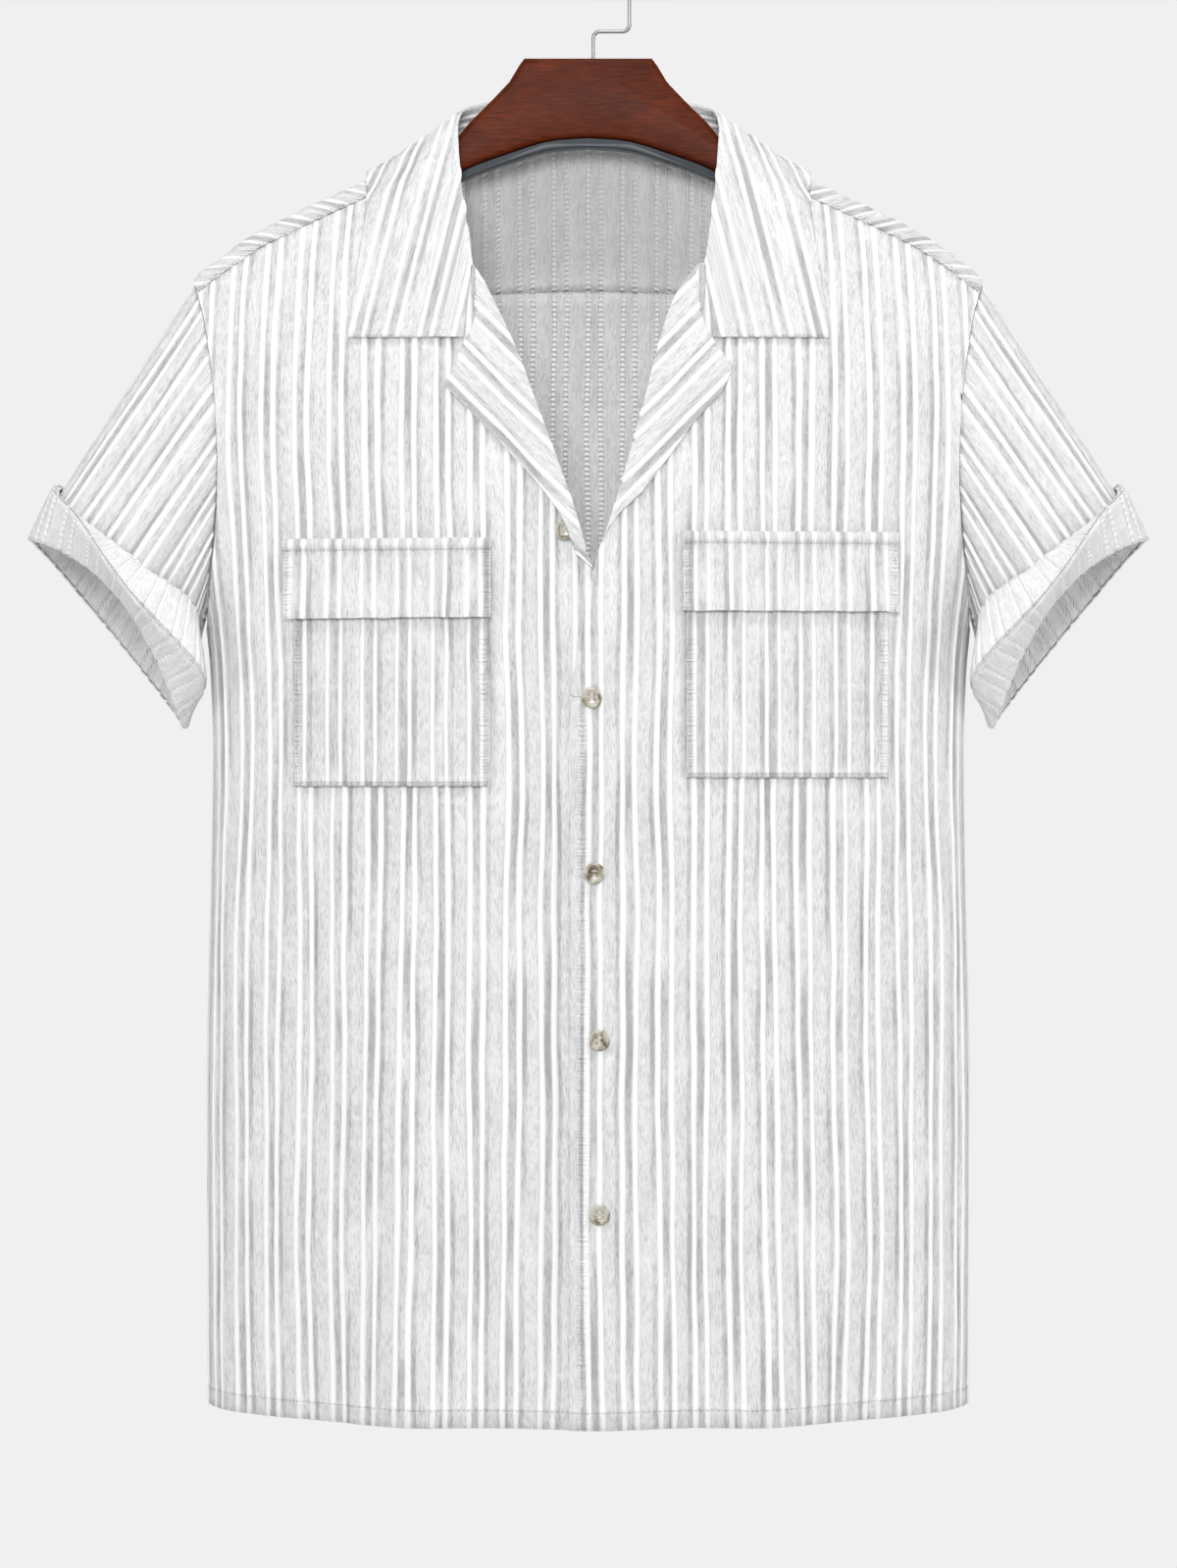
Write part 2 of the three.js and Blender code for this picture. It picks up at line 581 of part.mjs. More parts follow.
function pocket(size, side) {
  return onFront({ outline: rectangle(size), side, lift: () => POCKET_LIFT, rows: steps(5) });
}

function flap(size, side) {
  const height = size.top - size.bottom + 2 * PANEL_MARGIN;
  const welt = (WELT_HEIGHT + PANEL_MARGIN) / height;
  const bendStart = size.top - WELT_HEIGHT + 3;
  const lift = (x, z) => mix(WELT_LIFT, FLAP_LIFT, smoothStep((bendStart - z) / FLAP_BEND));
  const rows = [0, welt - 0.08, welt + 0.04, 0.6, 1];
  return onFront({ outline: rectangle(size), side, lift, rows });
}

function lapel(roll, freeEdge, side, lifted) {
  const breakZ = freeEdge[0].z - 8;
  const outline = [
    ...curve(roll, GORGE_Z - 1, breakZ, 10, (z) => ({ x: rollAt(roll, z) + SEAM_GAP, z })),
    ...freeEdge,
  ];
  const lift = (x, z) => {
    if (side > 0) return LAPEL_LIFT;
    const away = (x - BUTTON_BUMP.x) ** 2 + (z - BUTTON_BUMP.z) ** 2;
    return LAPEL_LIFT + BUTTON_BUMP.height * Math.exp(-away / BUTTON_BUMP.spread);
  };
  return onFront({ outline, side, lift, turn: -LAPEL_TURN, rows: steps(6), lifted });
}

// Collar: the stand rises from the neckline, turns at the fold and falls over yoke and fronts
function collarPoint(at, v) {
  const half = v * 2 - 1;
  const side = half < 0 ? -1 : 1;
  const t = Math.abs(half);
  const row = (name) => lookup(COLLAR, 't', name, t);
  const neck = new THREE.Vector3(row('neckX'), row('neckY'), row('neckZ'));
  const fold = new THREE.Vector3(row('foldX'), row('foldY'), row('foldZ'));
  const edge = new THREE.Vector3(row('edgeX'), row('edgeY'), row('edgeZ'));
  const settle = (place, lift) => {
    const isFront = place.y < 0;
    const crestZ = shoulderZ(place.x) - CREST_RADIUS;
    if (place.z < crestZ) {
      const least = sheetDepth(place.x, place.z, isFront) + lift;
      place.y = isFront ? Math.min(place.y, -least) : Math.max(place.y, least);
      return;
    }
    const reach = Math.hypot(place.y, place.z - crestZ);
    const lean = (place.y / reach) ** 2;
    const widest = sheetDepth(place.x, crestZ, isFront);
    const least = mix(CREST_RADIUS + COLLAR_CREST_EXTRA, widest, lean) + lift;
    const grow = Math.max(least / reach, 1);
    place.y *= grow;
    place.z = crestZ + (place.z - crestZ) * grow;
  };
  const place = new THREE.Vector3();
  if (at < COLLAR_STAND) {
    const share = at / COLLAR_STAND;
    place.lerpVectors(neck, fold, share);
    const { from, width } = COLLAR_ON_FRONT;
    if (t > from) settle(place, smoothStep((t - from) / width) * COLLAR_LIFT * share * share);
  } else {
    const share = (at - COLLAR_STAND) / COLLAR_FALL;
    const { from, share: knee, x, z } = COLLAR_CORNER;
    place.lerpVectors(fold, edge, share);
    const straight = new THREE.Vector3().lerpVectors(fold, edge, knee);
    const bend = share < knee ? share / knee : (1 - share) / (1 - knee);
    const pull = smoothStep((t - from) / (1 - from)) * bend;
    place.x += pull * (x - straight.x);
    place.z += pull * (z - straight.z);
    settle(place, COLLAR_LIFT);
  }
  place.x *= side;
  return place;
}

function collar() {
  const right = COLLAR_HALF_ROWS.slice(1).reverse().map((t) => (1 - t) / 2);
  const rows = [...right, ...COLLAR_HALF_ROWS.map((t) => (1 + t) / 2)];
  const columns = ribColumns(0, COLLAR_STAND + COLLAR_FALL);
  return clothWall({ columns, rows, point: collarPoint, outward: 1 });
}

// Sleeves: straight ribs from the armhole to the ring of the opening
function armholePoint(angle) {
  const t = (1 - Math.cos(angle)) / 2;
  const z = mix(ARMHOLE_TOP, ARMHOLE_BOTTOM, t);
  const x = armholeX(z);
  const turn = Math.sin(angle);
  const full = turn > 0 ? FRONT_FULLNESS : BACK_FULLNESS;
  const depth = armholeShare(z) * crestDepth(shoulderZ(x) - z, full);
  const y = (-depth * turn) / Math.hypot(turn, ARMHOLE_ROUNDING);
  return new THREE.Vector3(x + UNDERARM_SHIFT * t ** 4, y, z);
}

function openingPoint(angle) {
  const across = OPENING.halfWidth * Math.cos(angle);
  const rise = OPENING.frontRise * Math.max(Math.sin(angle), 0) ** 2;
  return new THREE.Vector3(
    OPENING.x + across * OPENING.alongX + rise * OPENING.riseX,
    -OPENING.halfDepth * Math.sin(angle),
    OPENING.z + across * OPENING.alongZ + rise * OPENING.riseZ,
  );
}

const openingPath = (() => {
  const count = 360;
  const path = [{ angle: 0, length: 0 }];
  for (let i = 1; i <= count; i += 1) {
    const angle = (2 * Math.PI * i) / count;
    const stepLength = openingPoint(angle).distanceTo(openingPoint(path[i - 1].angle));
    path.push({ angle, length: path[i - 1].length + stepLength });
  }
  return path;
})();
const OPENING_LENGTH = openingPath.at(-1).length;

function openingAngle(at) {
  const turns = Math.floor(at / OPENING_LENGTH);
  const rest = at - turns * OPENING_LENGTH;
  let i = 1;
  while (openingPath[i].length < rest) i += 1;
  const [a, b] = [openingPath[i - 1], openingPath[i]];
  return turns * 2 * Math.PI + mix(a.angle, b.angle, (rest - a.length) / (b.length - a.length));
}

function sleevePoint(at, v, side) {
  const angle = openingAngle(at);
  const start = armholePoint(angle);
  const end = openingPoint(angle);
  const length = start.distanceTo(end);
  const place = start.lerp(end, mix(SLEEVE_SEAM / length, 1 - SLEEVE_SEAM / length, v));
  place.x *= side;
  return place;
}

const sleeveColumns = () => ribColumns(0, OPENING_LENGTH, OPENING_LENGTH / SLEEVE_PERIODS);
const cuffColumns = () => sleeveColumns()
  .map((column) => ({ ...column, plain: column.rise < RIB_RISE / 2 }));

function sleeve(side) {
  return clothWall({
    columns: sleeveColumns(), rows: steps(4), looped: true, outward: side,
    point: (at, v) => sleevePoint(at, v, side),
  });
}

function cuffRow(angle, name) {
  const degrees = THREE.MathUtils.euclideanModulo(THREE.MathUtils.radToDeg(angle), 360);
  const before = { ...CUFF.at(-1), angle: CUFF.at(-1).angle - 360 };
  const after = CUFF.slice(0, 2).map((row) => ({ ...row, angle: row.angle + 360 }));
  return lookup([before, ...CUFF, ...after], 'angle', name, degrees);
}

function cuffPoint(at, v, side) {
  const angle = openingAngle(at);
  const base = openingPoint(angle);
  const up = armholePoint(angle).sub(base).normalize();
  const round = openingPoint(angle + 0.05).sub(openingPoint(angle - 0.05));
  const out = up.clone().cross(round).normalize();
  const bandRise = cuffRow(angle, 'bandRise');
  const bandOut = cuffRow(angle, 'bandOut');
  const edgeRise = cuffRow(angle, 'edgeRise');
  const edgeOut = cuffRow(angle, 'edgeOut');
  const profile = [
    { v: 0, rise: -0.8, out: -0.3 },
    { v: 0.1, rise: -0.3, out: 2.2 },
    { v: 0.25, rise: bandRise * 0.4, out: bandOut * 0.45 + 1.4 },
    { v: 0.5, rise: bandRise, out: bandOut },
    { v: 0.75, rise: mix(bandRise, edgeRise, 0.5), out: mix(bandOut, edgeOut, 0.42) },
    { v: 1, rise: edgeRise, out: edgeOut },
  ];
  const place = base.addScaledVector(up, lookup(profile, 'v', 'rise', v));
  place.addScaledVector(out, lookup(profile, 'v', 'out', v));
  place.x *= side;
  return place;
}

function cuff(side) {
  return clothWall({
    columns: cuffColumns(), rows: [0, 0.12, 0.5, 0.74, 1], looped: true, outward: -side,
    point: (at, v) => cuffPoint(at, v, side), relief: (v) => (v > 0.5 ? 0.7 : 0.25),
  });
}

// Flat four-hole button, its face towards the front
function button({ x, z, lift }) {
  const round = (count, radius, x0 = 0, y0 = 0) => Array.from({ length: count }, (_, i) => {
    const turn = (2 * Math.PI * i) / count;
    return new THREE.Vector2(x0 + radius * Math.cos(turn), y0 + radius * Math.sin(turn));
  });
  const { radius, offset } = BUTTON_HOLE;
  const shape = new THREE.Shape(round(16, BUTTON_RADIUS));
  for (const across of [-offset, offset]) {
    for (const up of [-offset, offset]) shape.holes.push(new THREE.Path(round(5, radius, across, up)));
  }
  const geometry = new THREE.ExtrudeGeometry(shape, { depth: BUTTON_THICKNESS, bevelEnabled: false });
  geometry.rotateX(Math.PI / 2);
  const clear = CLOTH / 2 + RIB_RISE + BUTTON_CLEARANCE;
  const surface = -sheetDepth(x, z, true) - lift - clear;
  geometry.translate(x, surface, z);
  return geometry;
}

// Hanger board, its strip and the hook
const boardLower = (x) => lookup(BOARD_LOWER, 'x', 'z', Math.abs(x));

function extrudedBoard(half, bevel, bevelSegments) {
  const shape = new THREE.Shape(bothSides(half).map(({ x, z }) => new THREE.Vector2(x, z)));
  const geometry = new THREE.ExtrudeGeometry(shape, {
    depth: BOARD_THICKNESS - 2 * bevel, bevelThickness: bevel, bevelSize: bevel, bevelOffset: -bevel,
    bevelSegments,
  });
  geometry.rotateX(Math.PI / 2);
  geometry.translate(0, BOARD_THICKNESS / 2 - bevel, 0);
  return geometry;
}

function hangerBody() {
  const lift = STRIP_HEIGHT + SEAM_GAP;
  const armLine = (x) => ({ x, z: shoulderZ(x) - BOARD_CLEARANCE });
  const arm = curve(SHOULDER, BOARD_ARM_FROM_X, BOARD_END_X, 6, armLine);
  const lowerLine = (x) => ({ x, z: boardLower(x) + lift });
  const lower = curve(BOARD_LOWER, BOARD_END_X, BOARD_MIDDLE_X, 9, lowerLine);
  return extrudedBoard([...BOARD_NECK.slice(1), ...arm, BOARD_TIP, ...lower], BOARD_BEVEL, 2);
}

function hangerEdge() {
  const line = (lift) => (x) => ({ x, z: boardLower(x) + lift });
  const upper = curve(BOARD_LOWER, BOARD_MIDDLE_X, BOARD_END_X, 9, line(STRIP_HEIGHT));
  const lower = curve(BOARD_LOWER, BOARD_END_X, BOARD_MIDDLE_X, 9, line(0));
  return extrudedBoard([...upper, ...lower], STRIP_BEVEL, 1);
}

function hook() {
  const path = new THREE.CurvePath();
  const at = (x, z) => new THREE.Vector3(x, 0, z);
  const line = (from, to) => path.add(new THREE.LineCurve3(from, to));
  const bend = (from, corner, to) => path.add(new THREE.QuadraticBezierCurve3(from, corner, to));
  const centre = WIRE_RADIUS - HOOK_RADIUS;
  const underShelf = at(0, HOOK_SHELF_Z - HOOK_CORNER);
  const shelfStart = at(HOOK_CORNER, HOOK_SHELF_Z);
  const shelfEnd = at(HOOK_RADIUS - HOOK_CORNER, HOOK_SHELF_Z);
  const aboveShelf = at(HOOK_RADIUS, HOOK_SHELF_Z + HOOK_CORNER);
  line(at(0, BOARD_NECK[0].z + SEAM_GAP), underShelf);
  bend(underShelf, at(0, HOOK_SHELF_Z), shelfStart);
  line(shelfStart, shelfEnd);
  bend(shelfEnd, at(HOOK_RADIUS, HOOK_SHELF_Z), aboveShelf);
  line(aboveShelf, at(HOOK_RADIUS, centre));
  const arcPoint = (i) => {
    const turn = THREE.MathUtils.degToRad((HOOK_END_ANGLE * i) / HOOK_ARC_STEPS);
    return at(HOOK_RADIUS * Math.cos(turn), centre + HOOK_RADIUS * Math.sin(turn));
  };
  for (let i = 0; i < HOOK_ARC_STEPS; i += 1) line(arcPoint(i), arcPoint(i + 1));
  const wire = new THREE.Shape().absarc(0, 0, WIRE_RADIUS, 0, 2 * Math.PI);
  return new THREE.ExtrudeGeometry(wire, {
    steps: HOOK_STEPS, extrudePath: path, curveSegments: 3, bevelEnabled: false,
  });
}

// Materials
function paint(color, roughness, metalness = 0) {
  return new THREE.MeshStandardMaterial({ color, roughness, metalness });
}

const cotton = () => paint(0xf4f4f4, 0.9);

const group = new THREE.Group();
const hung = new THREE.Group();
hung.position.x = SHIRT_OFFSET_X;
group.add(hung);

function place(parent, name, geometry, material) {
  const mesh = new THREE.Mesh(geometry, material);
  mesh.name = name;
  parent.add(mesh);
}

const noLift = () => 0;
place(hung, 'front_right', frontPanel(-1, ROLL_RIGHT, FRONT_EDGE.under, noLift), cotton());
place(hung, 'front_left', frontPanel(1, ROLL_LEFT, FRONT_EDGE.over, overlapLift), cotton());
place(hung, 'back', backPanel(), cotton());
place(hung, 'yoke', yokePanel(), cotton());
place(hung, 'collar', collar(), cotton());
place(hung, 'lapel_right', lapel(ROLL_RIGHT, LAPEL_RIGHT, -1, noLift), cotton());
place(hung, 'lapel_left', lapel(ROLL_LEFT, LAPEL_LEFT, 1, overlapLift), cotton());
for (const [name, side] of [['right', -1], ['left', 1]]) {
  place(hung, `sleeve_${name}`, sleeve(side), cotton());
  place(hung, `cuff_${name}`, cuff(side), cotton());
  place(hung, `pocket_${name}`, pocket(POCKETS[name], side), cotton());
  place(hung, `flap_${name}`, flap(FLAPS[name], side), cotton());
}
BUTTONS.forEach((spot, i) => place(hung, `button_${i + 1}`, button(spot), paint(0x8c8579, 0.35)));
place(hung, 'hanger_body', hangerBody(), paint(0x7f2d0e, 0.3));
place(hung, 'hanger_edge', hangerEdge(), paint(0x2b343c, 0.4));
place(group, 'hook', hook(), paint(0x8e9296, 0.35, 1));

export default group;
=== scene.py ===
import functools
import math

import bmesh
import bpy
import numpy as np
from mathutils import Matrix, Vector, noise


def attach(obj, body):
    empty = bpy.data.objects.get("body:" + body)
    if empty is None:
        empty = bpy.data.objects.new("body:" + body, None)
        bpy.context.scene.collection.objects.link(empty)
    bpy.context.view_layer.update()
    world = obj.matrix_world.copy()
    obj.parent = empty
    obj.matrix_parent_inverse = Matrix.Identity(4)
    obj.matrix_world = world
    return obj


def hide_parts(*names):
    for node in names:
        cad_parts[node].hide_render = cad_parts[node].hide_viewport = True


# A short-sleeved camp-collar shirt in white crinkle-striped cotton on a lacquered wooden hanger.
# Sizes are millimetres, as on a tailor's card, and turn to metres where a mesh takes its place.
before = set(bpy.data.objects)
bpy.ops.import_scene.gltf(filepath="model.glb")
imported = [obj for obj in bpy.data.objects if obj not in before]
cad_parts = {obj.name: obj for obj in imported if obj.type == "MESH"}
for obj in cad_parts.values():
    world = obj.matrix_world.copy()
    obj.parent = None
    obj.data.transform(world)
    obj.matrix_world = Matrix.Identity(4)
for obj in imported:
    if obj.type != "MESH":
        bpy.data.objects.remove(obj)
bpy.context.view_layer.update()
MM = 0.001


# The hanger's board: red-brown lacquered wood 12 mm thick, sawn from one flat blank, its edges
# rounded over on a moulding machine. It stands for the CAD's board and keeps its outline.
SHOULDER = [  # x, z: the line on which the shirt lies
    (0, -104), (40, -108), (85, -125), (133, -148.5), (170, -165.5),
    (195, -178), (213, -190), (235, -207), (262, -230),
]
BOARD_NECK = [  # x, z: from the middle of the flat top out to the arm
    (0, -75), (38, -75), (41, -79), (47, -89), (56, -98.5), (71, -113.5), (79, -123.5), (88, -131.5),
]
BOARD_LOWER = [  # x, z
    (0, -128.3), (24, -130.3), (46, -137), (74, -147.5), (110, -168), (160, -190), (205, -206),
]
BOARD_THICKNESS = 12
BOARD_EDGE_RADIUS = 3.5
BOARD_CLEARANCE = 3.2
BOARD_END_X = 205
BOARD_TIP = 2.4
STRIP_HEIGHT = 5.5
STRIP_EDGE_RADIUS = 0.8
PART_GAP = 0.3


def through(rows, at):
    """Smooth curve through a table's rows of (place, value), flat beyond its ends."""
    x, y = np.array(rows, float).T
    last = len(x) - 1
    at = np.clip(at, x[0], x[last])
    place = np.clip(np.searchsorted(x, at, side="right") - 1, 0, last - 1)
    each = np.arange(last + 1)
    before, after = np.maximum(each - 1, 0), np.minimum(each + 1, last)
    slope = (y[after] - y[before]) / (x[after] - x[before])
    span = x[place + 1] - x[place]
    s = (at - x[place]) / span
    bend = slope[place] * s * (1 - s) ** 2 - slope[place + 1] * s * s * (1 - s)
    return y[place] + (y[place + 1] - y[place]) * s * s * (3 - 2 * s) + bend * span


def shoulder_z(x):
    return through(SHOULDER, np.abs(x))


@functools.lru_cache(maxsize=None)
def shoulder_height(x):
    return float(through(SHOULDER, abs(x)))


def spaced(start, end, count):
    return [start + (end - start) * i / count for i in range(count + 1)]


def add_node(tree, kind, links=None, values=None, **settings):
    """Adds a node with its own settings, its sockets' values and the sockets that feed it."""
    made = tree.nodes.new(kind)
    for field, value in settings.items():
        setattr(made, field, value)
    for socket, value in (values or {}).items():
        made.inputs[socket].default_value = value
    for socket, source in (links or {}).items():
        tree.links.new(source, made.inputs[socket])
    return made


def linear(hex_code):
    """An sRGB hex colour as linear red, green, blue and alpha."""
    parts = [int(hex_code[i:i + 2], 16) / 255 for i in (1, 3, 5)]
    return tuple(p / 12.92 if p <= 0.04045 else ((p + 0.055) / 1.055) ** 2.4 for p in parts) + (1.0,)


def new_material(name):
    """An empty material with its shader joined to the output: (material, tree, shader)."""
    material = bpy.data.materials.new(name)
    material.use_nodes = True
    tree = material.node_tree
    tree.nodes.clear()
    shader = add_node(tree, "ShaderNodeBsdfPrincipled")
    add_node(tree, "ShaderNodeOutputMaterial", links={"Surface": shader.outputs["BSDF"]})
    return material, tree, shader


def ramp(tree, fac, *stops):
    """The colours between stops of (place, hex colour), given in order."""
    made = add_node(tree, "ShaderNodeValToRGB", links={"Fac": fac})
    elements = made.color_ramp.elements
    elements[0].position, elements[1].position = stops[0][0], stops[-1][0]
    for place, _ in stops[1:-1]:
        elements.new(place)
    for element, (_, colour) in zip(elements, stops):
        element.color = linear(colour)
    return made.outputs["Color"]


def texture(tree, vector, scale, detail=2, **others):
    """Soft noise over a map, from 0 to 1."""
    values = {"Scale": scale, "Detail": detail} | others
    return add_node(tree, "ShaderNodeTexNoise", links={"Vector": vector}, values=values).outputs["Fac"]


def stretched(tree, vector, scale, lean=0):
    """A map at another scale each way, turned by some degrees."""
    return add_node(
        tree, "ShaderNodeMapping", links={"Vector": vector},
        values={"Rotation": (0, 0, math.radians(lean)), "Scale": scale},
    ).outputs[0]


def dress(tree, shader, colour, values, bump=None):
    """Feeds the shader its colour and bump and sets its own sockets."""
    tree.links.new(colour, shader.inputs["Base Color"])
    if bump:
        tree.links.new(bump.outputs[0], shader.inputs["Normal"])
    for socket, value in values.items():
        shader.inputs[socket].default_value = value


def lacquered_wood():
    """Stained beech under a clear lacquer: fine dark flecks along the board and a soft gloss."""
    material, tree, shader = new_material("lacquered beech")
    place = add_node(tree, "ShaderNodeTexCoord").outputs["Object"]
    # Grain streaks about 1.2 mm apart and 12 mm long, over slow clouds of stain 40 mm wide.
    grain = texture(tree, stretched(tree, place, (85, 300, 800)), 1, 4, Roughness=0.62)
    flecks = ramp(tree, grain, (0.3, "#471603"), (0.7, "#6C2A07"))
    shade = ramp(tree, texture(tree, place, 25), (0.35, "#B9A9A4"), (0.65, "#FFFFFF"))
    stain = add_node(
        tree, "ShaderNodeMix", data_type="RGBA", blend_type="MULTIPLY",
        links={6: flecks, 7: shade}, values={0: 0.5},
    )
    bump = add_node(
        tree, "ShaderNodeBump", links={"Height": grain}, values={"Strength": 0.25, "Distance": 0.0002},
    )
    gloss = {"Roughness": 0.5, "Specular IOR Level": 0.12, "Coat Weight": 0.04, "Coat Roughness": 0.3}
    dress(tree, shader, stain.outputs[2], gloss, bump)
    return material


def black_lacquer():
    """Blue-black enamel, brushed on: nearly flat, with a soft shine along its edge."""
    material, tree, shader = new_material("blue-black enamel")
    place = add_node(tree, "ShaderNodeTexCoord").outputs["Object"]
    tone = ramp(tree, texture(tree, place, 160, 3), (0, "#1B2127"), (1, "#303A43"))
    dress(tree, shader, tone, {"Roughness": 0.38})
    return material


def sawn_board(name, half_outline, edge_radius, segments, material):
    """A flat board from half its outline, mirrored, as thick as the hanger, with rounded edges."""
    whole = half_outline + [(-x, z) for x, z in reversed(half_outline) if x > 0.01]
    bm = bmesh.new()
    ring = [bm.verts.new((x, BOARD_THICKNESS / 2, z)) for x, z in whole]
    face = bm.faces.new(ring)
    grown = bmesh.ops.extrude_face_region(bm, geom=[face])
    moved = [item for item in grown["geom"] if isinstance(item, bmesh.types.BMVert)]
    bmesh.ops.translate(bm, verts=moved, vec=(0, -BOARD_THICKNESS, 0))
    bmesh.ops.recalc_face_normals(bm, faces=bm.faces)
    rims = [edge for edge in bm.edges if abs(edge.verts[0].co.y - edge.verts[1].co.y) < 0.01]
    bmesh.ops.bevel(
        bm, geom=rims, offset=edge_radius, segments=segments, profile=0.5, affect="EDGES",
        material=-1, clamp_overlap=True,
    )
    return finished(name, bm, material)


def placed(name, data):
    """A new object in the scene."""
    made = bpy.data.objects.new(name, data)
    bpy.context.scene.collection.objects.link(made)
    return made


def finished(name, bm, *materials):
    """Turns a bmesh in millimetres to an object in metres at the shirt's place and smooths it."""
    bmesh.ops.scale(bm, vec=(MM, MM, MM), verts=bm.verts)
    mesh = bpy.data.meshes.new(name)
    bm.to_mesh(mesh)
    bm.free()
    piece = placed(name, mesh)
    for material in materials:
        mesh.materials.append(material)
    mesh.shade_smooth()
    return piece


# The shirt and board hang 3 mm off the hook's centre line, as the photograph shows.
SHIRT_OFFSET_X = -3


def board_lower(x):
    return through(BOARD_LOWER, abs(x))


strip_top = STRIP_HEIGHT + PART_GAP
board_outline = (
    BOARD_NECK
    + [(x, shoulder_height(x) - BOARD_CLEARANCE) for x in spaced(96, BOARD_END_X, 12)]
    + [(BOARD_END_X + BOARD_TIP, -189), (BOARD_END_X + BOARD_TIP, -196)]
    + [(x, float(board_lower(x)) + strip_top) for x in spaced(BOARD_END_X, 0, 24)]
)
board = sawn_board("hanger_board", board_outline, BOARD_EDGE_RADIUS, 4, lacquered_wood())
strip_outline = (
    [(x, float(board_lower(x)) + STRIP_HEIGHT) for x in spaced(0, BOARD_END_X, 24)]
    + [(x, float(board_lower(x))) for x in spaced(BOARD_END_X, 0, 24)]
)
# The enamel also covers the board's sawn edges, so it shows as a thin black line down its neck.
FLAT_FACE = 0.5
LEVEL_TOP = 0.97
board.data.materials.append(black_lacquer())
for face in board.data.polygons:
    if abs(face.normal.y) < FLAT_FACE and abs(face.normal.z) < LEVEL_TOP:
        face.material_index = 1
strip = sawn_board("hanger_strip", strip_outline, STRIP_EDGE_RADIUS, 2, board.data.materials[1])
for piece, node, finish in (
    (board, "hanger_body", "lacquered_wood"), (strip, "hanger_edge", "black_strip"),
):
    piece.data.transform(Matrix.Translation((SHIRT_OFFSET_X * MM, 0, 0)))
    piece.data.set_sharp_from_angle(angle=math.radians(35))
    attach(piece, "root")
    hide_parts(node)


# The hook: 2.2 mm drawn steel wire, bright from the die, bent square at its shelf and round at
# the rail, and pushed into the board's flat top.
WIRE_RADIUS = 1.1
HOOK_RADIUS = 21.5
HOOK_SHELF_Z = -58.6
HOOK_CORNER = 4
HOOK_END_ANGLE = 205
BOARD_TOP_Z = -75


def drawn_steel():
    """Drawn steel wire: mid grey metal with faint draw lines along it."""
    material, tree, shader = new_material("drawn steel wire")
    place = add_node(tree, "ShaderNodeTexCoord").outputs["Object"]
    tone = ramp(tree, texture(tree, place, 900), (0, "#7F8386"), (1, "#A4A7AA"))
    dress(tree, shader, tone, {"Metallic": 1, "Roughness": 0.34})
    return material


def corner(centre, start_angle, end_angle, radius, count):
    """Points round a bend of the wire."""
    return [
        (centre[0] + radius * math.cos(math.radians(a)), centre[1] + radius * math.sin(math.radians(a)))
        for a in spaced(start_angle, end_angle, count)
    ]


hook_line = (
    [(0, BOARD_TOP_Z + PART_GAP), (0, HOOK_SHELF_Z - HOOK_CORNER)]
    + corner((HOOK_CORNER, HOOK_SHELF_Z - HOOK_CORNER), 180, 90, HOOK_CORNER, 8)
    + corner((HOOK_RADIUS - HOOK_CORNER, HOOK_SHELF_Z + HOOK_CORNER), 270, 360, HOOK_CORNER, 8)
    + corner((0, WIRE_RADIUS - HOOK_RADIUS), 0, HOOK_END_ANGLE, HOOK_RADIUS, 60)
)
wire = bpy.data.curves.new("hook_wire", "CURVE")
wire.dimensions = "3D"
wire.bevel_depth = WIRE_RADIUS * MM
wire.bevel_resolution = 5
wire.use_fill_caps = True
spline = wire.splines.new("POLY")
spline.points.add(len(hook_line) - 1)
for point, (x, z) in zip(spline.points, hook_line):
    point.co = (x * MM, 0, z * MM, 1)
hook = placed("hook_wire", wire)
wire.materials.append(drawn_steel())
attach(hook, "root")
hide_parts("hook")


# The cotton: a white cloth with pairs of raised ribs woven in down its length and crinkled
# channels between them. Every panel is cut from it flat and hung on the shape worked out here.
CLOTH_THICKNESS = 0.9
RIB_RISE = 1.3
RIB_HALF_WIDTH = 2.0
RIB_PITCH = 20.6
RIB_PAIR_GAP = 7.6
RIB_STRENGTH = 0.86
RIB_VARIETY = 0.8
RIB_COLUMNS = (-2.1, -1.3, -0.6, 0, 0.6, 1.3, 2.1)
CHANNEL_COLUMNS = (11.8, 13.4, 15, 16.6)
PUFF_RISE = 0.7
PUFF_WIDTH = 10
PUFF_STRENGTH = 0.8
PUFF_VARIETY = 0.6
CRINKLE_RISE = 0.24
SWELL_RISE = 0.7
SLOW_SWAY = 2.2
QUICK_SWAY = 0.9
FRONT_FULLNESS = 66
BACK_FULLNESS = 48
CREST_RADIUS = 9
FALL_LENGTH = 90
SECTION_POWER = 2.5
ARMHOLE_TOP = -210
ARMHOLE_BOTTOM = -414
ARMHOLE_FULLNESS = 0.8
YOKE_FRONT_DROP = 12
HEM_Z = -874
FOLD_START_Z = -430
OVERLAP_LIFT = 3
FRONT_EDGE_UNDER = -20
FRONT_EDGE_OVER = -11
SEAM_GAP = 0.1
CHEST_Z = -600
ARMHOLE = [  # z, x: the armhole seam seen from the front, from the underarm up
    (-414, 226), (-385, 222), (-355, 219), (-325, 217.5), (-288, 219),
    (-257, 222.5), (-232, 227), (-216, 231.5), (-205, 235.5),
]
SIDE = [  # z, half width of the body below the underarm
    (-890, 224), (-800, 225), (-700, 225), (-560, 223), (-480, 222), (-440, 223.5), (-414, 226),
]
FRONT_FOLDS = [(-107, 30, 13), (0, 26, 8), (106, 30, 13)]  # x, half width, depth at the hem
BACK_FOLDS = [(-128, 30, 11), (-34, 34, 9), (82, 36, 12)]
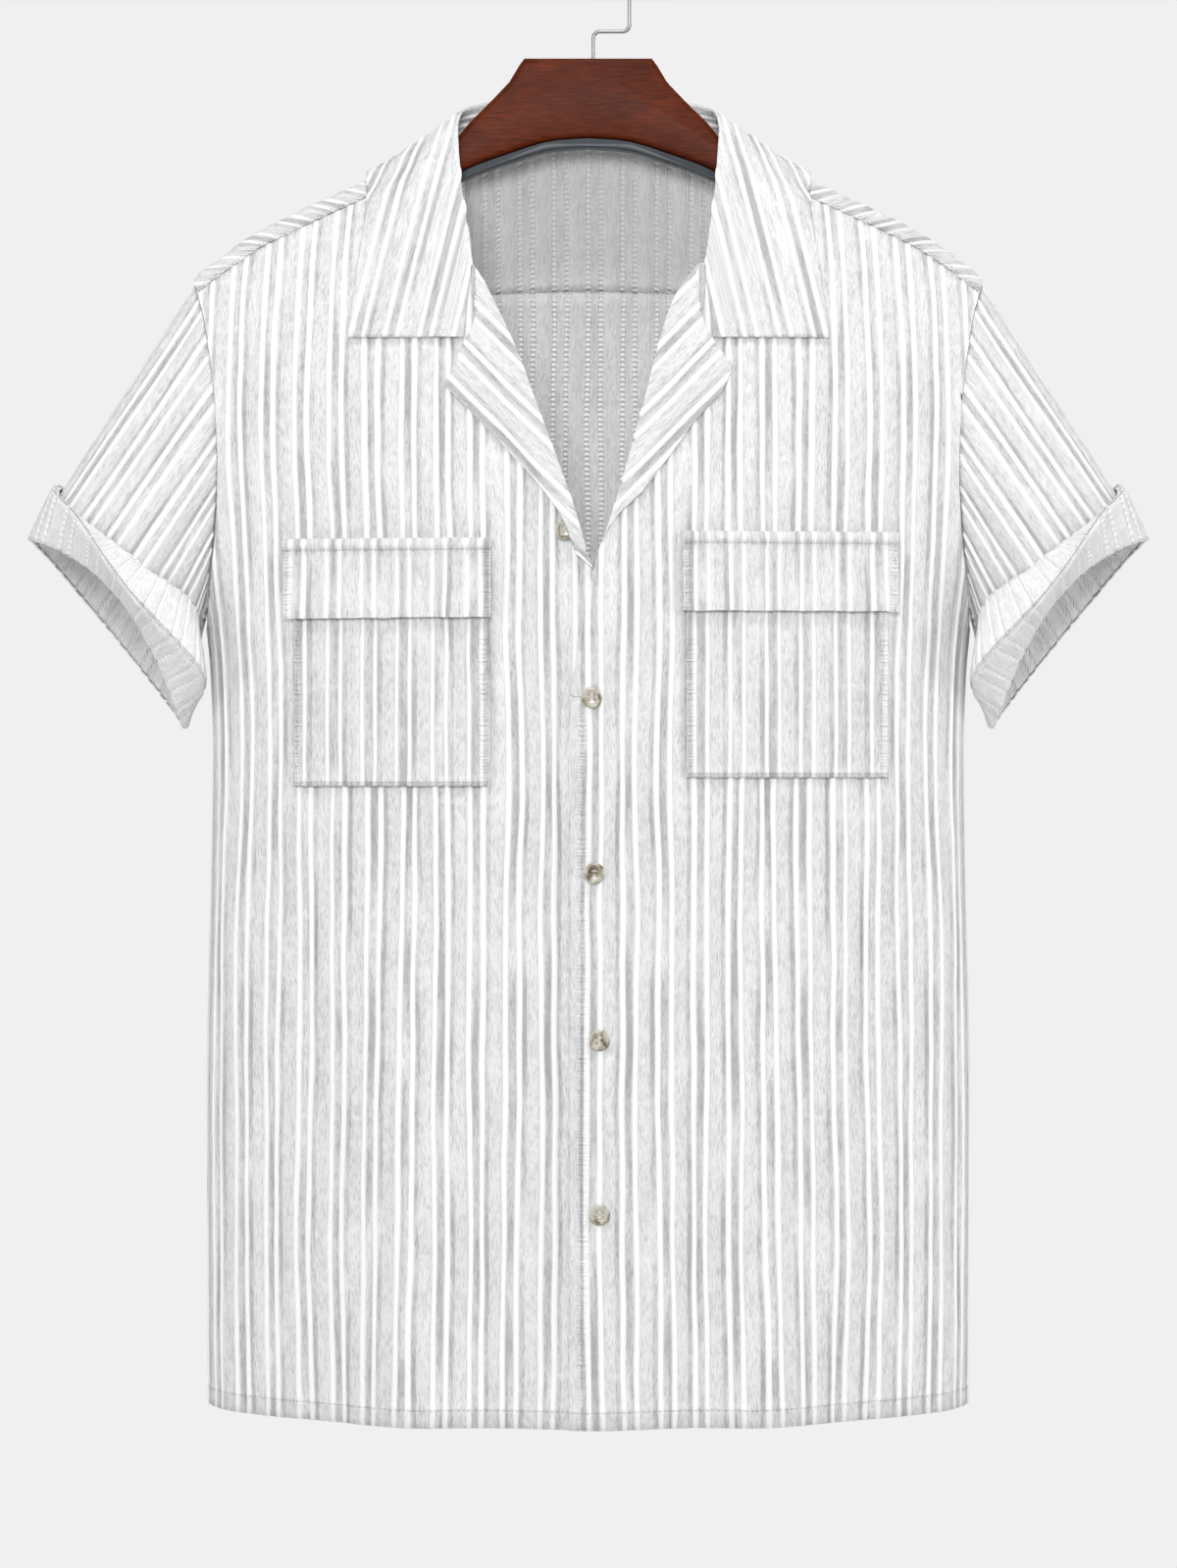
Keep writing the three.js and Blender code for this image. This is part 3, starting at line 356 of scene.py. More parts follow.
# Soft creases, each from one place to another: x, z, x, z, half width, height (a trough is below 0).
FRONT_CREASES = [
    (28, -300, 26, -930, 22, 4.4), (-84, -280, -76, -930, 24, 3.2),
    (112, -290, 112, -930, 22, -4.0), (-12, -420, -10, -930, 15, -3.6),
    (-64, -290, -50, -600, 18, 3.4), (-24, -320, -20, -640, 15, -3.6),
    (-8, -392, -58, -268, 9, -1.6), (-14, -440, -84, -318, 12, 2.0), (-30, -520, -96, -390, 10, -1.2),
    (74, -262, 30, -430, 12, 2.2), (98, -258, 62, -352, 9, -1.6),
    (-196, -250, -150, -560, 15, 2.2), (-176, -330, -196, -700, 11, -1.4),
    (190, -250, 158, -500, 15, 2.0), (176, -420, 196, -760, 12, -1.6),
    (-62, -540, -80, -860, 15, 1.8), (52, -560, 60, -868, 13, -1.8), (140, -600, 152, -868, 16, 1.6),
    (-150, -640, -146, -868, 12, -1.5),
]
BACK_CREASES = [
    (-60, -250, -40, -600, 16, 2.2), (70, -240, 96, -520, 14, -1.8), (-186, -280, -140, -480, 13, 1.8),
    (180, -300, 150, -620, 15, 2.0), (20, -480, 8, -868, 14, -1.7), (-100, -560, -96, -868, 12, 1.5),
]
NECKLINE = [(-201, 73), (-180, 77.5), (-160, 81), (-138, 84), (-110, 85.5)]  # z, x
ROLL_RIGHT = [  # z, x: where the right lapel rolls over
    (-383, -3), (-358, 4.5), (-338, 10.5), (-300, 24.5), (-255, 41), (-214, 60), (-201, 68),
]
ROLL_LEFT = [
    (-449, -10), (-404, -1), (-381, 3), (-348, 14), (-310, 25),
    (-265, 37), (-235, 45), (-214, 54.5), (-201, 65),
]


def smooth_step(t):
    s = min(max(float(t), 0), 1)
    return s * s * (3 - 2 * s)


def mix(a, b, t):
    return a + (b - a) * t


def armhole_x(z):
    return float(through(ARMHOLE, z))


def crest_depth(drop, fullness):
    """How far the cloth stands out once it has fallen this far below the shoulder line."""
    t = np.clip(np.maximum(drop, 0) / CREST_RADIUS, 0, 1)
    crest = CREST_RADIUS * np.sqrt(1 - (1 - t) ** 2)
    return crest + fullness * (1 - np.exp(-np.maximum(drop, 0) / FALL_LENGTH))


def armhole_share(z):
    t = min(max((ARMHOLE_TOP - z) / (ARMHOLE_TOP - ARMHOLE_BOTTOM), 0), 1)
    return ARMHOLE_FULLNESS * math.sqrt(1 - t ** 3)


def half_width(z):
    if z <= ARMHOLE_BOTTOM:
        return float(through(SIDE, z))
    return armhole_x(z) / (1 - armhole_share(z) ** SECTION_POWER) ** (1 / SECTION_POWER)


def fold_depth(folds, x, z):
    growth = smooth_step((FOLD_START_Z - z) / (FOLD_START_Z - HEM_Z))
    return growth * sum(depth * np.exp(-(((x - at) / spread) ** 2)) for at, spread, depth in folds)


def crease_height(creases, x, z):
    """Height of the creases at a place, each fading out towards its two ends."""
    height = 0
    for x0, z0, x1, z1, spread, rise in creases:
        along = (z - z0) / (z1 - z0)
        if 0 < along < 1:
            off = (x - mix(x0, x1, along)) / spread
            height = height + rise * math.sin(math.pi * along) * np.exp(-off * off)
    return height


def sheet_depth(x, z, is_front):
    """How far the front or back stands from the hanger's plane at a place seen from the front."""
    share = 1 - np.minimum(np.abs(x) / half_width(z), 1) ** SECTION_POWER
    depth = crest_depth(shoulder_z(x) - z, FRONT_FULLNESS if is_front else BACK_FULLNESS)
    folds = fold_depth(FRONT_FOLDS if is_front else BACK_FOLDS, x, z)
    creases = crease_height(FRONT_CREASES if is_front else BACK_CREASES, x, z)
    return depth * share ** (1 / SECTION_POWER) + folds + creases * share


def overlap_lift(x):
    return OVERLAP_LIFT * (1 - smooth_step((x - 24) / 36))


sections = {}
SECTION_STEP = 2


def section(z, is_front, side):
    """A level section of the body, as lengths along the cloth from its centre, x and y."""
    key = (round(z, 3), is_front, side)
    if key not in sections:
        angle = np.linspace(math.pi / 2, 0, 121)
        x = side * half_width(z) * np.maximum(np.cos(angle), 0) ** (2 / SECTION_POWER)
        y = (-1 if is_front else 1) * sheet_depth(x, z, is_front)
        steps = np.hypot(np.diff(x), np.diff(y))
        sections[key] = (np.concatenate([[0], np.cumsum(steps)]), x, y)
    return sections[key]


def section_length(z, is_front, side):
    return section(z, is_front, side)[0][-1]


def body_point(at, z, is_front):
    """Point of the body's cloth a given way along it from the centre, at a height."""
    side = -1 if at < 0 else 1
    chest = section_length(CHEST_Z, is_front, side)
    lower = math.floor(z / SECTION_STEP) * SECTION_STEP
    ends = []
    for level in (lower, lower + SECTION_STEP):
        lengths, x, y = section(level, is_front, side)
        fullest = section_length(min(level, ARMHOLE_BOTTOM), is_front, side)
        want = abs(at) * fullest / chest
        ends.append((np.interp(want, lengths, x), np.interp(want, lengths, y)))
    share = (z - lower) / SECTION_STEP
    return Vector((mix(ends[0][0], ends[1][0], share), mix(ends[0][1], ends[1][1], share), z))


def rib_columns(start, end, pitch=RIB_PITCH):
    """Places across the cloth for a mesh's columns: close together over each rib."""
    scale = pitch / RIB_PITCH
    offsets = [*RIB_COLUMNS, 3.8, *(RIB_PAIR_GAP + r for r in RIB_COLUMNS), *CHANNEL_COLUMNS]
    places = []
    first = math.floor(start / pitch) - 1
    for count in range(first, math.ceil(end / pitch) + 2):
        places += [count * pitch + offset * scale for offset in offsets]
    inside = sorted(p for p in places if start + 0.4 < p < end - 0.4)
    return [start] + inside + [end]


def rib_height(at, way, pitch=RIB_PITCH):
    """Height of the cloth's own relief: paired ribs that vary along their length, and the puffed
    and crinkled channel from each pair to the next."""
    scale = pitch / RIB_PITCH
    period = math.floor(at / pitch + 0.2)
    within = at / scale - period * RIB_PITCH
    height = 0
    for number, centre in enumerate((0, RIB_PAIR_GAP)):
        reach = abs(within - centre) / RIB_HALF_WIDTH
        if reach < 1:
            seed = period * 2 + number
            strength = RIB_STRENGTH + RIB_VARIETY * noise.noise(Vector((seed * 7.3, way / 110, 0.5)))
            height = max(height, RIB_RISE * strength * (1 - reach * reach) ** 1.3)
    puff = (within - RIB_PAIR_GAP) / PUFF_WIDTH
    if 0 < puff < 1:
        fullness = PUFF_STRENGTH + PUFF_VARIETY * noise.noise(Vector((period * 3.1, way / 60, 4.4)))
        height = max(height, PUFF_RISE * fullness * math.sin(math.pi * puff) ** 0.7)
    crinkle = CRINKLE_RISE * noise.noise(Vector((at / 2.1, way / 14, 3.1)))
    swell = SWELL_RISE * noise.noise(Vector((at / 15, way / 150, 6.4)))
    return height + crinkle + swell


def sway(at, way):
    """Sideways wander of the ribs, which don't run quite straight."""
    slow = SLOW_SWAY * noise.noise(Vector((at / 40, way / 120, 9.7)))
    return slow + QUICK_SWAY * noise.noise(Vector((at / 11, way / 45, 5.2)))


def woven_grid(columns, rows):
    """A flat piece of cloth: the grid, and the layer that holds each place across and along it."""
    bm = bmesh.new()
    across, along = len(columns) - 1, len(rows) - 1
    bmesh.ops.create_grid(bm, x_segments=across, y_segments=along, size=0.5)
    flat = bm.verts.layers.float_vector.new("flat")
    for vert in bm.verts:
        column = columns[round((vert.co.x + 0.5) * across)]
        row = rows[round((vert.co.y + 0.5) * along)]
        vert[flat] = (column, row, 0)
    return bm, flat


def hang(bm, flat, point, relief, turned=False, closed=False):
    """Hangs flat cloth on a shape, then raises its relief along the cloth's own normals. A tube is
    closed first, so that its seam is smooth."""
    for vert in bm.verts:
        vert.co = point(vert[flat].x, vert[flat].y)
    if turned:
        bmesh.ops.reverse_faces(bm, faces=bm.faces)
    bm.normal_update()
    normals = [vert.normal.copy() for vert in bm.verts]
    if closed:
        keys = [tuple(round(c, 3) for c in vert.co) for vert in bm.verts]
        shared = {}
        for key, normal in zip(keys, normals):
            shared[key] = shared.get(key, Vector()) + normal
        normals = [shared[key].normalized() for key in keys]
    for vert, normal in zip(bm.verts, normals):
        vert.co += normal * relief(vert[flat].x, vert[flat].y)


def inside(outline, x, z):
    """Whether a place seen from the front is within an outline."""
    crossings = 0
    for (x0, z0), (x1, z1) in zip(outline, outline[1:] + outline[:1]):
        if (z0 > z) != (z1 > z) and x < x0 + (z - z0) * (x1 - x0) / (z1 - z0):
            crossings += 1
    return crossings % 2 == 1


def trim(bm, outline, keep=True, only=None):
    """Cuts cloth along an outline seen from the front and drops what is outside it, or inside."""
    reach = 6
    for (x0, z0), (x1, z1) in zip(outline, outline[1:] + outline[:1]):
        if math.hypot(x1 - x0, z1 - z0) < 0.01:
            continue
        low_x, high_x = min(x0, x1) - reach, max(x0, x1) + reach
        low_z, high_z = min(z0, z1) - reach - 4, max(z0, z1) + reach + 4
        near = []
        for face in bm.faces:
            centre = face.calc_center_median()
            if low_x < centre.x < high_x and low_z < centre.z < high_z:
                near.append(face)
        if not near:
            continue
        edges = {edge for face in near for edge in face.edges}
        verts = {vert for face in near for vert in face.verts}
        bmesh.ops.bisect_plane(
            bm, geom=near + list(edges) + list(verts), dist=0.02,
            plane_co=(x0, 0, z0), plane_no=(z1 - z0, 0, x0 - x1),
        )
    gone = []
    for face in bm.faces:
        centre = face.calc_center_median()
        if inside(outline, centre.x, centre.z) != keep and (only is None or only(centre)):
            gone.append(face)
    bmesh.ops.delete(bm, geom=gone, context="FACES")


FAR = 100
CLOTH_NODES = ("front_left", "front_right", "yoke", "sleeve_left", "sleeve_right")


def cloth_piece(name, bm, flat, seams=None, rests_on=(), across=None):
    """Finishes a panel: its own map of the cloth in millimetres, its distances from the lines of
    stitching, and its thickness."""
    cloth_map = bm.loops.layers.uv.new("Cloth")
    stitch_map = bm.loops.layers.uv.new("Stitch")
    bm.verts.index_update()
    places = []
    for vert in bm.verts:
        at, way = vert[flat].x, vert[flat].y
        on_cloth = across(at, way) if across else (at, way)
        places.append((on_cloth, seams(at, way, vert.co) if seams else (FAR, FAR)))
    for face in bm.faces:
        for loop in face.loops:
            loop[cloth_map].uv, loop[stitch_map].uv = places[loop.vert.index]
    piece = finished(f"cotton_{name}", bm, cotton_face, cotton_reverse)
    piece.data.transform(Matrix.Translation((SHIRT_OFFSET_X * MM, 0, 0)))
    thickness = piece.modifiers.new("cloth thickness", "SOLIDIFY")
    thickness.thickness = CLOTH_THICKNESS * MM
    thickness.offset = 0
    thickness.material_offset = 1
    thickness.material_offset_rim = 0
    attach(piece, "root")
    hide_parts(name)
    rests_on = [f"cotton_{under}" if under in CLOTH_NODES else under for under in rests_on]


def eased(tree, value, start, end, first=0, last=1):
    """A number that goes smoothly from first to last while the value goes from start to end."""
    return add_node(
        tree, "ShaderNodeMapRange", interpolation_type="SMOOTHSTEP", links={"Value": value},
        values={"From Min": start, "From Max": end, "To Min": first, "To Max": last},
    ).outputs["Result"]


def cotton(name, shows_floats, valley_painted_shade, channel_painted_shade, crimp_painted_shade):
    """Crinkled cotton: matt and white, with crimped threads in the channels between the ribs. Its reverse
    shows the ribs as rows of small floats. Painted shade darkens its colour in the valleys beside the ribs,
    in the channels and along the crimps; the last three arguments say how deep each painted shade is."""
    material, tree, shader = new_material(name)
    cloth = add_node(tree, "ShaderNodeUVMap", uv_map="Cloth").outputs["UV"]
    place = add_node(tree, "ShaderNodeSeparateXYZ", links={"Vector": cloth})
    across, along = place.outputs["X"], place.outputs["Y"]

    def maths(operation, *terms):
        values = {number: term for number, term in enumerate(terms) if isinstance(term, (int, float))}
        links = {number: term for number, term in enumerate(terms) if number not in values}
        return add_node(tree, "ShaderNodeMath", operation=operation, values=values, links=links).outputs[0]

    def times(*terms):
        return functools.reduce(lambda first, second: maths("MULTIPLY", first, second), terms)

    def total(*terms):
        return functools.reduce(lambda first, second: maths("ADD", first, second), terms)

    # Distances in millimetres from the ribs of the pair, and from the two valleys beside them.
    within = maths("WRAP", across, RIB_PITCH - 5, -5.0)

    def near(centre, full, none):
        return eased(tree, maths("ABSOLUTE", maths("SUBTRACT", within, centre)), full, none, 1, 0)

    rib = maths("MAXIMUM", near(0.0, 0.7, 1.9), near(RIB_PAIR_GAP, 0.7, 1.9))
    channel = maths("SUBTRACT", 1, rib)
    valley = maths("MAXIMUM", near(3.8, 1.3, 2.8), near(-2.9, 0.8, 2.0))
    # The painted shade differs from valley to valley: along each it grows darker and paler over some 60 mm,
    # and the channels' painted shade varies with it, more softly.
    uneven_shade = add_node(
        tree, "ShaderNodeMapRange",
        links={"Value": texture(tree, stretched(tree, cloth, (0.11, 0.016, 1)), 1)},
        values={"From Min": 0.34, "From Max": 0.66, "To Min": 0.1, "To Max": 1.5},
    ).outputs["Result"]
    # Crimps about 1 mm wide and 7 mm long, leaning 13 degrees one way and then the other.
    crimp_sets = [
        texture(tree, stretched(tree, cloth, (1.15, 0.14, 1), lean), 1, 2.5, Roughness=0.6, Distortion=0.15)
        for lean in (13, -13)
    ]
    which = eased(tree, texture(tree, cloth, 0.06, 1), 0.42, 0.58)
    crimps = add_node(
        tree, "ShaderNodeMix", data_type="FLOAT", links={0: which, 2: crimp_sets[0], 3: crimp_sets[1]},
    ).outputs[0]
    height = times(crimps, maths("MULTIPLY_ADD", channel, 0.8, 0.25), 1.5)
    if shows_floats:
        floats = maths("SINE", times(along, 2.1))
        height = total(height, times(floats, maths("SUBTRACT", 1, channel), 0.35))
    # Stitched lines: a groove 0.8 mm wide with the thread lying in it, and puckers either side.
    stitch = add_node(tree, "ShaderNodeUVMap", uv_map="Stitch").outputs["UV"]
    lines = add_node(tree, "ShaderNodeSeparateXYZ", links={"Vector": stitch})
    painted_groove_shade = 0.0
    for distance, run in ((lines.outputs["X"], along), (lines.outputs["Y"], across)):
        off = maths("ABSOLUTE", distance)
        groove = eased(tree, off, 0.1, 0.9, 1, 0)
        pucker = eased(tree, off, 0.5, 5, 1, 0)
        gather = add_node(
            tree, "ShaderNodeTexNoise", noise_dimensions="1D", links={"W": times(run, 0.7)},
            values={"Scale": 1, "Detail": 1},
        ).outputs["Fac"]
        dips = add_node(
            tree, "ShaderNodeMapRange", links={"Value": gather}, values={"From Min": 0.55, "From Max": 0.4},
        ).outputs["Result"]
        # Painted shade: the groove is darkened in the colour where the gathers dip.
        painted_groove_shade = total(painted_groove_shade, times(dips, groove, 0.5))
        height = total(maths("SUBTRACT", height, times(groove, 0.35)), times(gather, pucker, 1.4))
    bump = add_node(
        tree, "ShaderNodeBump", links={"Height": height}, values={"Strength": 1, "Distance": MM},
    )
    # Painted shade: the colour runs from near white to grey (#B9BBBE) over the crimp lines, the channels,
    # the valleys beside the ribs and the stitched grooves, standing in for the shade that falls there.
    crimp_shade = times(eased(tree, crimps, 0.36, 0.52, 1, 0), channel, crimp_painted_shade)
    channel_shade = times(channel, maths("MULTIPLY_ADD", uneven_shade, 0.5, 0.5), channel_painted_shade)
    depth = total(times(valley, uneven_shade, valley_painted_shade), painted_groove_shade, channel_shade, crimp_shade)
    tone = ramp(tree, depth, (0, "#FDFDFD"), (1, "#B9BBBE"))
    dress(tree, shader, tone, {"Roughness": 0.88, "Sheen Weight": 0.15, "Sheen Roughness": 0.5}, bump)
    return material


# The reverse, seen inside the shirt, carries less painted shade than the face, so the inside is painted
# lighter.
cotton_face = cotton("crinkled cotton, face", False, 0.4, 0.26, 0.34)
cotton_reverse = cotton("crinkled cotton, reverse", True, 0.12, 0.06, 0.2)


# The fronts: each is cut to the yoke seam, armhole, neck and roll line, and hemmed 10 mm up. The
# left one laps over the right with a 17 mm hem along its edge.
HEM_STITCH = 10
EDGE_STITCH = 7.5
HEM_DIP = 7
FRONT_ROWS = 96


def armhole_line(from_z, to_z, inset):
    return [(armhole_x(z) - inset, z) for z in spaced(from_z, to_z, 20)]


def mirrored(outline, side):
    return [(side * x, z) for x, z in outline]


def yoke_seam_z(x):
    return shoulder_height(x) - YOKE_FRONT_DROP


def front_hem_z(x):
    return HEM_Z - HEM_DIP * math.cos(math.pi * x / 500)


def front_outline(roll, edge_x):
    low = roll[0][0]
    return (
        [(300, -920), (300, ARMHOLE_BOTTOM - SEAM_GAP)]
        + armhole_line(ARMHOLE_BOTTOM - SEAM_GAP, yoke_seam_z(231), SEAM_GAP)
        + [(x, yoke_seam_z(x) - SEAM_GAP) for x in spaced(230, 84, 22)]
        + [(float(through(NECKLINE, z)), z) for z in spaced(-145, -200, 8)]
        + [(float(through(roll, z)), z) for z in spaced(-202, low, 16)]
        + [(edge_x, low - 12), (edge_x, -920)]
    )


def front_panel(name, side, roll, edge_x, lift):
    reach = section_length(CHEST_Z, True, side) - SEAM_GAP / 2

    def front_z(at, share):
        top = shoulder_height(min(abs(at), 235)) - YOKE_FRONT_DROP + 5
        return mix(front_hem_z(at), top, share)

    def point(at, share):
        z = front_z(at, share)
        place = body_point(side * (at + sway(at, z)), z, True)
        place.y -= lift(side * place.x)
        return place

    bm, flat = woven_grid(rib_columns(edge_x - 3, reach), spaced(0, 1, FRONT_ROWS))
    hang(bm, flat, point, lambda at, share: rib_height(at, front_z(at, share)), turned=side < 0)
    trim(bm, mirrored(front_outline(roll, edge_x), side))

    def seams(at, share, place):
        from_edge = side * place.x - edge_x - EDGE_STITCH
        return (from_edge if place.z < roll[0][0] else FAR), place.z - front_hem_z(at) - HEM_STITCH

    cloth_piece(
        name, bm, flat, seams=seams,
        rests_on=["yoke"], across=lambda at, share: (at, front_z(at, share)),
    )


front_panel("front_right", -1, ROLL_RIGHT, FRONT_EDGE_UNDER, lambda x: 0)
front_panel("front_left", 1, ROLL_LEFT, FRONT_EDGE_OVER, overlap_lift)


# The back: one panel from the yoke's back seam to the hem, joined to the fronts down the sides.
YOKE_BACK_Z = -210
YOKE_BACK_SLOPE = 25
BACK_ROWS = 84
SEAM_FLAT = 6


def yoke_back_z(x):
    return YOKE_BACK_Z - YOKE_BACK_SLOPE * (x / 225) ** 2


def both_halves(outline):
    return outline + mirrored(outline, -1)[::-1]


def back_panel():
    reach = section_length(CHEST_Z, False, 1) - SEAM_GAP / 2

    def back_z(at, share):
        return mix(HEM_Z - 2, yoke_back_z(min(abs(at), 235)) + 0.2, share)

    def point(at, share):
        z = back_z(at, share)
        return body_point(at + sway(at + 900, z), z, False)

    bm, flat = woven_grid(rib_columns(-reach, reach), spaced(0, 1, BACK_ROWS))

    def relief(at, share):
        z = back_z(at, share)
        return rib_height(at + 900, z) * smooth_step((yoke_back_z(at) - z) / SEAM_FLAT + 0.1)

    hang(bm, flat, point, relief, turned=True)
    half = [(300, -920), (300, ARMHOLE_BOTTOM - SEAM_GAP)] + armhole_line(
        ARMHOLE_BOTTOM - SEAM_GAP, -205, SEAM_GAP
    )
    trim(bm, both_halves(half))
    cloth_piece(
        "back", bm, flat, seams=lambda at, share, place: (FAR, place.z - HEM_Z - HEM_STITCH),
        rests_on=["yoke"],
        across=lambda at, share: (at, back_z(at, share)),
    )


back_panel()


# The yoke: one piece over the hanger's arms, from the front seam to the seam across the back.
YOKE_ROWS_FRONT = 14
YOKE_ROWS_BACK = 16


def yoke_panel():
    quarter = CREST_RADIUS * math.pi / 2
    front_end = -(quarter + YOKE_FRONT_DROP - CREST_RADIUS - 3 * SEAM_GAP)
    slant = 1.35
    slant_reach = 40

    def path_place(at, share):
        back_end = quarter + shoulder_height(at) - yoke_back_z(at) - CREST_RADIUS
        half = YOKE_ROWS_FRONT / (YOKE_ROWS_FRONT + YOKE_ROWS_BACK)
        if share < half:
            return mix(front_end, quarter, share / half)
        return mix(quarter, back_end, (share - half) / (1 - half))

    def point(at, share):
        q = path_place(at, share)
        way = abs(q)
        if way < quarter:
            drop = CREST_RADIUS * (1 - math.cos(way / CREST_RADIUS))
        else:
            drop = CREST_RADIUS + way - quarter
        x = at - (slant * drop * min(max(at / slant_reach, -1), 1) if q < 0 else 0)
        z = float(shoulder_z(x)) - drop
        full = FRONT_FULLNESS if q < 0 else BACK_FULLNESS
        width = (1 - min(abs(x) / half_width(z), 1) ** SECTION_POWER) ** (1 / SECTION_POWER)
        turn = math.sin(min(way / CREST_RADIUS, math.pi / 2))
        depth = CREST_RADIUS * turn + full * (1 - math.exp(-drop / FALL_LENGTH))
        return Vector((x, math.copysign(depth * width, q), z))

    rows = spaced(0, 1, YOKE_ROWS_FRONT + YOKE_ROWS_BACK)
    bm, flat = woven_grid(rib_columns(-256, 256), rows)

    def relief(at, share):
        to_seam = path_place(at, 1) - path_place(at, share)
        return rib_height(at + 300, path_place(at, share)) * 0.8 * smooth_step(to_seam / SEAM_FLAT + 0.1)

    hang(bm, flat, point, relief)
    half = [(235, -60)] + armhole_line(-205, -260, SEAM_GAP)
    trim(bm, both_halves(half))
    neck = [(-85, -60), (85, -60), (85, -128.6), (73, -128.2), (60, -124.4),
            (-60, -124.4), (-73, -128.2), (-85, -128.6)]
    trim(bm, neck, keep=False)
    trim(bm, [(-85, -60), (85, -60), (85, -200), (-85, -200)], keep=False, only=lambda place: place.y < 0)
    cloth_piece(
        "yoke", bm, flat,
        seams=lambda at, share, place: (FAR, path_place(at, share) - front_end - 2),
        rests_on=["hanger_board"],
        across=lambda at, share: (at, path_place(at, share)),
    )


yoke_panel()


# Patch pockets, each with a flap under a narrow welt: all are cut on the straight grain, turned
# in at their edges and topstitched to the fronts.
POCKETS = {  # inner, outer, top, bottom, out from the centre front
    "right": (58.5, 172, -376, -508),
    "left": (57, 175, -373, -503),
}
FLAPS = {
    "right": (56.5, 178, -364, -410),
    "left": (55, 181, -360, -406),
}
POCKET_LIFT = 2.5
FLAP_LIFT = 5
WELT_HEIGHT = 6.5
WELT_ROLL = 1.8
FLAP_CURL = 1.8
FLAP_COLUMNS = 210
POCKET_STITCH = 2
WELT_SINK = 0.6
GATHER_RISE = 0.6
EDGE_GATHER = 0.7
EDGE_PRESS = 0.4
CURL_START = 20
SIDES = (("right", -1), ("left", 1))


def rotated(x, z, angle):
    return x * math.cos(angle) - z * math.sin(angle), x * math.sin(angle) + z * math.cos(angle)


def on_front(side, outline, lift, row_count, turn=0, lifted=None, relief=1, seed=0, fine=0):
    """Cloth that lies on a front: its points are the front's own, moved out by a lift."""
    angle = math.radians(turn)
    corners = [rotated(x, z, -angle) for x, z in outline]
    low_at, high_at = min(c[0] for c in corners) - 2, max(c[0] for c in corners) + 2
    low_way, high_way = min(c[1] for c in corners) - 2, max(c[1] for c in corners) + 2

    def seen(at, way):
        return rotated(at, way, angle)

    def point(at, way):
        x, z = seen(at + 0.5 * sway(at + seed, way), way)
        depth = float(sheet_depth(side * x, z, True)) + (lifted(x) if lifted else 0)
        return Vector((side * x, -depth, z))

    columns = spaced(low_at, high_at, fine) if fine else rib_columns(low_at, high_at)
    bm, flat = woven_grid(columns, spaced(low_way, high_way, row_count))

    def height(at, way):
        return relief * rib_height(at + seed, way) + lift(*seen(at, way))

    hang(bm, flat, point, height, turned=side < 0)
    trim(bm, mirrored(outline, side))
    return bm, flat


def rectangle(inner, outer, top, bottom):
    return [(inner, top), (outer, top), (outer, bottom), (inner, bottom)]


def nearest_side(inner, outer, x, stitch):
    return min(x - inner, outer - x) - stitch


for side_name, side in SIDES:
    inner, outer, top, bottom = POCKETS[side_name]
    outline = rectangle(inner, outer, top, bottom)
    bm, flat = on_front(side, outline, lambda x, z: POCKET_LIFT, 26, seed=140)
    cloth_piece(
        f"pocket_{side_name}", bm, flat,
        seams=lambda at, way, place: (
            nearest_side(inner, outer, abs(place.x), POCKET_STITCH), place.z - bottom - POCKET_STITCH
        ),
        rests_on=[f"front_{side_name}"],
    )
    inner, outer, top, bottom = FLAPS[side_name]

    def flap_lift(x, z):
        down = top - z
        gather = noise.noise(Vector((x / 1.3, side * 5.1, 2.2)))
        if down < WELT_HEIGHT:
            roll = math.sqrt(max(math.sin(math.pi * down / WELT_HEIGHT), 0))
            return FLAP_LIFT - WELT_SINK + (WELT_ROLL + GATHER_RISE * gather) * roll
        by_edges = math.exp(-(((down - WELT_HEIGHT) / 2.5) ** 2)) + math.exp(-(((z - bottom) / 3) ** 2))
        curl = FLAP_CURL * smooth_step((down - CURL_START) / (top - bottom - CURL_START))
        return FLAP_LIFT + curl + (EDGE_GATHER * gather - EDGE_PRESS) * by_edges

    edge = [
        (x, bottom + 0.7 * noise.noise(Vector((x / 6, side * 3.3, 1.7)))) for x in spaced(outer, inner, 18)
    ]
    outline = [(inner, top), (outer, top)] + edge
    bm, flat = on_front(side, outline, flap_lift, 36, seed=60, fine=FLAP_COLUMNS)
    cloth_piece(
        f"flap_{side_name}", bm, flat,
        seams=lambda at, way, place: (
            nearest_side(inner, outer, abs(place.x), POCKET_STITCH), place.z - top + WELT_HEIGHT
        ),
        rests_on=[f"front_{side_name}"],
    )


# The lapels: the tops of the fronts, faced and rolled back on to the chest, with the ribs running
# across them at 45 degrees.
LAPEL_RIGHT = [  # x, z: free edge from the break up to the gorge
    (7, -373), (14, -354), (22.5, -340.5), (34, -326), (55.5, -303), (84, -274), (66.5, -236), (66, -207),
]
LAPEL_LEFT = [
    (11, -359), (18.5, -349), (30.5, -338), (40.5, -325), (60, -298), (78, -278),
    (84.5, -263), (75, -251), (68.5, -240), (65.5, -230), (63, -207),
]
LAPEL_LIFT = 2.5
LAPEL_TURN = 45
BUTTON_BUMP = 3.6
BUTTON_BUMP_SPREAD = 500


